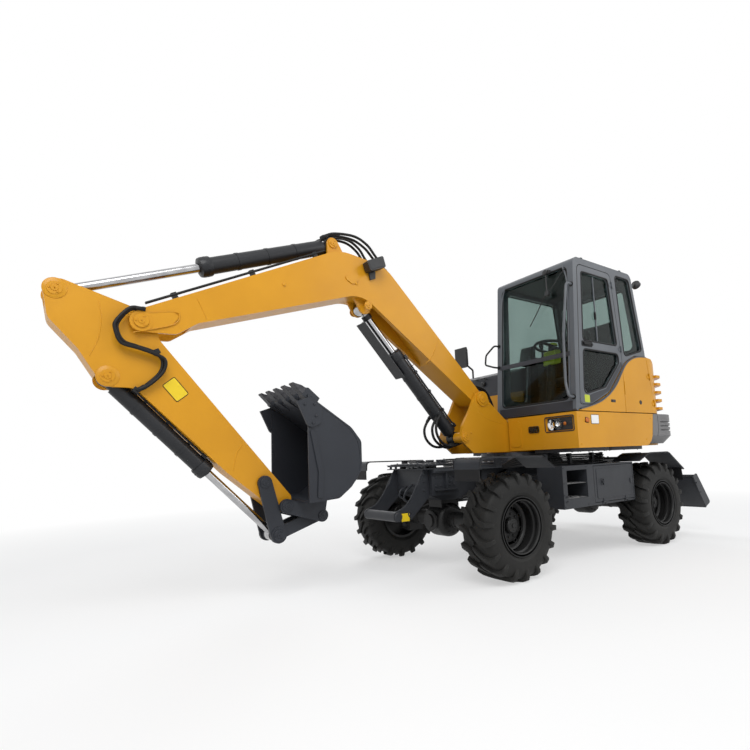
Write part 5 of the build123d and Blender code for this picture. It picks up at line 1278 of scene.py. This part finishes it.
prism(rounded([(-950, 2036), (-784, 2036), (-790, 2248), (-944, 2248)], 26), "y", 66.2, 68.6)
piece("mirror_face", "mirror", smooth=40)
loop_seal(rounded([(-956, 2028), (-778, 2028), (-784, 2256), (-950, 2256)], 30), "y", 65, 5)
lathe([(-20, 12), (-20, 18), (20, 18), (20, 12)], (-868, 64, 2100), (0, -0.3, 1), 16)
piece("mirror_rim", "plastic", smooth=40)

# Cab

door_front = 62 * 0.9 + 6
DOOR = rounded([(front_at(1372) + door_front, 1378), (front_at(2676) + door_front, 2670), (374, 2670),
                (462, 1840), (462, 1766), (197, 1500), (-80, 1384)], 60, 6)
DOOR_UPPER = rounded([(front_at(1960) + 124, 1960), (front_at(2600) + 120, 2610), (330, 2610), (400, 1960)],
                     34, 6)
DOOR_LOWER = rounded([(front_at(1480) + 124, 1466), (front_at(1880) + 124, 1880), (404, 1880), (408, 1790),
                      (150, 1546)], 50, 6)
QUARTER = rounded([(514, 1868), (462, 2672), (rear_at(2672) - 54, 2672), (846, 1952)], 44, 6)
RIGHT_WINDOW = rounded([(-160, 1500), (-100, 2640), (rear_at(2640) - 72, 2640), (786, 1960), (160, 1940),
                        (100, 1500)], 54, 6)
loop_seal(DOOR, "x", CAB_LEFT - 3, 5)
loop_seal(QUARTER, "x", CAB_LEFT - 2, 9)
loop_seal(RIGHT_WINDOW, "x", CAB_RIGHT + 2, 9)
loop_seal(rect(90, 892, 1424, 2656, 60, 6), "y", 0, 9, lambda x, z: front_at(z) + 2)
loop_seal(rect(114, 868, 1984, 2596, 60, 6), "y", 0, 9, lambda x, z: rear_at(z) - 2)
piece("cab_seals", "seal", smooth=60)
for outline in (DOOR_UPPER, DOOR_LOWER):
    loop_seal(outline, "x", CAB_LEFT - 2, 9)
prism(rounded([(-168, 1904), (-20, 1904), (8, 1930), (-20, 1953), (-168, 1953)], 10), "x", CAB_LEFT,
      CAB_LEFT + 4)
prism(rect(-150, -52, 1918, 1942, 9), "x", CAB_LEFT + 4, CAB_LEFT + 16)
knob([(0, 11), (4, 11), (5, 8)], (CAB_LEFT + 4, -20, 1930), LEFTWARD, 20)
prism(rect(84, 98, 2180, 2250, 4), "x", CAB_LEFT - 19, CAB_LEFT - 2)
piece("door_seals", "seal", "cab_door", smooth=60)
prism(rect(98, 106, 1974, 2594, 3), "x", CAB_LEFT - 22, CAB_LEFT - 10)
piece("door_slide", "cab", "cab_door", smooth=60)
prism(rounded([(-104, 1393), (-80, 1393), (193, 1511), (452, 1771), (452, 1806), (425, 1802), (421, 1785),
               (157, 1531), (-50, 1480), (-104, 1462)], 8), "x", CAB_LEFT + 0.1, CAB_LEFT + 1.3)
piece("door_sweep", "dark_cab", "cab_door", smooth=60)

tube(spline([(898, front_at(1400) - 3, 1408), (900, front_at(1700) - 3, 1700),
             (902, front_at(2100) - 3, 2100), (896, front_at(2500) - 3, 2500),
             (850, front_at(2650) - 3, 2674)], 6), 7, 10)
tube(spline([(84, front_at(1400) - 3, 1408), (80, front_at(1700) - 3, 1700), (80, front_at(2100) - 3, 2100),
             (86, front_at(2500) - 3, 2500), (130, front_at(2650) - 3, 2674)], 6), 7, 10)
strip([(FRONT_TOP + 60, CAB_TOP), (rear_at(CAB_TOP) - 60, CAB_TOP)], 90, 892, 5)
strip([(-60, CAB_TOP), (600, CAB_TOP)], 240, 742, 16)
for x in (150, 832):
    strip([(-110, CAB_TOP), (670, CAB_TOP)], x - 14, x + 14, 12)
piece("cab_ribs", "cab", smooth=40, bevel=2)

for x, y in ((902, 0), (902, 644), (70, 0), (70, 644)):
    knob([(-40, 11), (20, 11), (22, 20), (34, 20), (40, 14)], (x, y, CAB_TOP), UPWARD, 20)
piece("roof_studs", "plastic", smooth=40)

# Wiper

prism(rect(640, 720, 2640, 2676, 8), "y", front_at(2660) - 34, front_at(2660) - 2)
line = [(680, front_at(2650) - 30, 2650), (684, front_at(2560) - 30, 2560), (696, front_at(2452) - 34, 2452)]
tube(spline(line, 5), 6, 10)
tube(spline([(690, front_at(2470) - 26, 2476), (560, front_at(2300) - 15, 2300),
             (470, front_at(2180) - 15, 2180)], 5), 5, 8)
prism(rect(676, 716, 2424, 2470, 8), "y", front_at(2450) - 44, front_at(2450) - 20)
knob([(0, 24), (12, 24), (16, 16)], (680, front_at(2660) - 34, 2658), FORWARD, 20)
tube([(690, front_at(2440) - 22, 2440), (880, front_at(2640) - 12, 2640)], 4, 8)
piece("wiper", "plastic", smooth=40, bevel=1)

prism(rounded([(-186, 1396), (-112, 1394), (-112, 1460), (-186, 1464)], 10), "x", CAB_LEFT + 0.2,
      CAB_LEFT + 1.6)
piece("door_label", "sign_green", "cab_door", bevel=0.4)

# Work lamp behind the cab

WORK_LAMP = (900, 940, 2700)
LAMP_AIM = (0, 0.8, -0.5)
tube([(900, 868, 2640), (900, 930, 2690), (900, 960, 2700)], 9, 12)
knob([(-4, 30), (10, 44), (44, 46), (50, 42)], WORK_LAMP, LAMP_AIM, 28)
piece("rear_work_lamp", "plastic", smooth=40, bevel=1)
lathe([(50, 0), (50, 39), (54, 36), (56, 20), (57, 0)], WORK_LAMP, LAMP_AIM, 28)
piece("rear_work_glass", "lens", smooth=40)

for z in (2478, 1432):
    for dx in (-14, 14):
        bolt((940 + dx, front_at(z) - 3, z), FORWARD, 6)
for x, z in ((44, 2070), (44, 1846)):
    knob([(0, 20), (4, 20), (5, 12)], (x, front_at(z) - 1, z), FORWARD, 20)
for x, z in ((940, 2470), (940, 1440)):
    knob([(0, 22), (4, 22), (5, 13)], (x, front_at(z) - 1, z), FORWARD, 20)
piece("rail_feet", "black", smooth=40)

# Dark bar across the windscreen, and a thin dark plate over the lower front panel: the plate is painted shade
# that stands for the shadow on the cab's front face
prism([(front_at(1812) - 10, 1812), (front_at(1854) - 10, 1854), (front_at(1854) - 5, 1854),
       (front_at(1812) - 5, 1812)], "x", 70, 912)
prism([(front_at(1324) - 2.4, 1324), (front_at(1408) - 2.4, 1408), (front_at(1408) - 0.2, 1408),
       (front_at(1324) - 0.2, 1324)], "x", 60, 925)
piece("screen_bar_and_painted_shade", "dark_cab")


def bent(stops, reach, steps=5):
    """Line through the stops with its corners rounded from so far on each side."""
    line = [Vector(stops[0])]
    for before, corner, after in zip(stops, stops[1:], stops[2:]):
        corner = Vector(corner)
        one = corner + (Vector(before) - corner).normalized() * reach
        two = corner + (Vector(after) - corner).normalized() * reach
        for k in range(steps + 1):
            t = k / steps
            line.append(one * (1 - t) ** 2 + corner * 2 * t * (1 - t) + two * t * t)
    return line + [Vector(stops[-1])]


# Grab rails

RAILS = [
    # name, finish, radius, bend, stops of (x, z, distance out from the cab's front)
    ("left", "cab", 12, 30, [(940, 2470, 1.3), (940, 2470, 76), (902, 1983, 80), (914, 1560, 78),
                             (940, 1440, 74), (940, 1440, 1.3)]),
    ("right", "black", 9, 24, [(44, 2070, 1.3), (44, 2070, 72), (-70, 1990, 76), (-78, 1890, 76),
                               (44, 1846, 72), (44, 1846, 1.3)]),
]
for name, look, radius, bend, stops in RAILS:
    tube(bent([(x, front_at(z) - out, z) for x, z, out in stops], bend), radius, 16)
    rail = piece("grab_rail_" + name, look, smooth=50)
    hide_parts("handrails")

# Cab inside

FLOOR = 1366
prism(rounded([(150, FLOOR + 6), (812, FLOOR + 6), (812, 1900), (780, 1926), (186, 1908), (150, 1560)], 20),
      "x", 68.4, 76)
prism(rounded([(516, FLOOR + 6), (812, FLOOR + 6), (812, 1800), (516, 1800)], 20), "x", 906, 913.6)
prism(rect(90, 892, FLOOR + 6, 1900, 20), "y", 838, 846)
prism(rect(100, 880, -110, 690, 60), "z", 2668, 2688)
prism(rect(84, 898, -240, 830, 40), "z", FLOOR + 0.3, FLOOR + 5)
piece("cab_lining", "plastic")
for x in (225, 795):
    lathe([(0, 0), (0, 34), (14, 30), (24, 26), (34, 28), (46, 20), (56, 12), (110, 8), (120, 14), (150, 22),
           (176, 22), (192, 14), (196, 0)], (x, 210, FLOOR + 560), (0, -0.15, 1), 24)
for x in (430, 570):
    prism([(-250, FLOOR), (-190, FLOOR), (-140, FLOOR + 70), (-152, FLOOR + 78), (-214, FLOOR + 14)], "x",
          x - 38, x + 38)
    tube(spline([(x, -170, FLOOR + 60), (x, -130, FLOOR + 190), (x, -120, FLOOR + 250)], 5), 8, 10)
    knob([(0, 20), (22, 22), (34, 14)], (x, -120, FLOOR + 246), UPWARD, 20)
prism(rect(110, 180, 120, 300, 10), "z", FLOOR + 560, FLOOR + 600)
prism(rounded([(-30, FLOOR + 520), (50, FLOOR + 500), (60, FLOOR + 690), (20, FLOOR + 700)], 14), "x", 92,
      250)
piece("cab_levers", "plastic", smooth=40, bevel=3)
prism(rounded([(-36, FLOOR + 536), (-28, FLOOR + 534), (14, FLOOR + 686), (8, FLOOR + 690)], 3), "x", 104,
      238)
piece("cab_monitor", "lens", smooth=40, bevel=1)
lathe([(-6, 0), (-6, 46), (10, 44), (18, 30), (20, 0)], (500, 26, FLOOR + 655), (0, 0.16, 0.98), 28)
prism(rounded([(-60, FLOOR + 440), (40, FLOOR + 470), (50, FLOOR + 600), (-40, FLOOR + 590)], 16), "x", 430,
      570)
piece("column_cover", "sign_green", smooth=40, bevel=4)


def cushion(name, corners, x0, x1, crown, seams):
    """Padded piece: a crowned, seamed block with drawn-in sides between its corners."""
    columns, rows = 26, 22
    (y0, z0), (y1, z1), (ty, tz) = corners
    run = Vector((0, y1 - y0, z1 - z0))
    out = Vector((0, ty, tz)).normalized()
    thick = hypot(ty, tz)
    sheets = []
    for face in (1, -1):
        grid = []
        for i in range(columns + 1):
            line = []
            for j in range(rows + 1):
                u, v = i / columns * 2 - 1, j / rows * 2 - 1
                edge = max(abs(u), abs(v))
                pull = 1 - 0.035 * (1 - v * v) * (abs(u) > 0.999) - 0.03 * (1 - u * u) * (abs(v) > 0.999)
                dome = (1 - abs(u) ** 5) ** 0.5 * (1 - abs(v) ** 5) ** 0.5
                groove = 1 - sum(0.34 * max(0, 1 - abs(abs(u) - s) / 0.07) ** 0.7 for s in seams)
                groove -= sum(0.2 * max(0, 1 - abs(v - s) / 0.06) ** 0.7 for s in (-0.34, 0.34))
                lift = thick / 2 * (0.55 + 0.45 * dome) if edge < 0.999 else thick * 0.16
                lift += crown * dome * groove if face > 0 else crown * 0.25 * dome
                spot = Vector(((x0 + x1) / 2 + u * pull * (x1 - x0) / 2, y0, z0)) + run * (v * pull + 1) / 2
                spot += out * (thick / 2 + face * lift)
                line.append(bm.verts.new(at(*spot)))
            grid.append(line)
        for i in range(columns):
            for j in range(rows):
                bm.faces.new((grid[i][j], grid[i + 1][j], grid[i + 1][j + 1], grid[i][j + 1]))
        sheets.append(grid)
    rim = [(i, 0) for i in range(columns)] + [(columns, j) for j in range(rows)]
    rim += [(i, rows) for i in range(columns, 0, -1)] + [(0, j) for j in range(rows, 0, -1)]
    for (a, b), (c, d) in zip(rim, rim[1:] + rim[:1]):
        bm.faces.new((sheets[0][a][b], sheets[0][c][d], sheets[1][c][d], sheets[1][a][b]))
    obj = piece(name, "cloth", smooth=80)
    smooth = obj.modifiers.new("smooth", "SUBSURF")
    smooth.levels = smooth.render_levels = 1


cushion("seat_cushion", ((232, FLOOR + 272), (690, FLOOR + 262), (0, 92)), 294, 726, 14, (0.62,))
cushion("seat_back", ((652, FLOOR + 372), (752, FLOOR + 950), (56, 0)), 314, 706, -14, (0.6,))
prism(rect(334, 686, 304, 636, 30), "z", FLOOR + 1, FLOOR + 60)
for k in range(6):
    inset = 8 + (k % 2) * 16
    prism(rect(334 + inset, 686 - inset, 304 + inset, 636 - inset, 30), "z", FLOOR + 60 + k * 28,
          FLOOR + 88 + k * 28)
prism(rect(310, 710, 270, 690, 26), "z", FLOOR + 228, FLOOR + 262)
prism(rounded([(702, FLOOR + 300), (740, FLOOR + 300), (812, FLOOR + 940), (790, FLOOR + 950)], 12), "x", 340,
      680)
base = piece("seat_base", "plastic", smooth=40, bevel=3)
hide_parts("operator_seat")
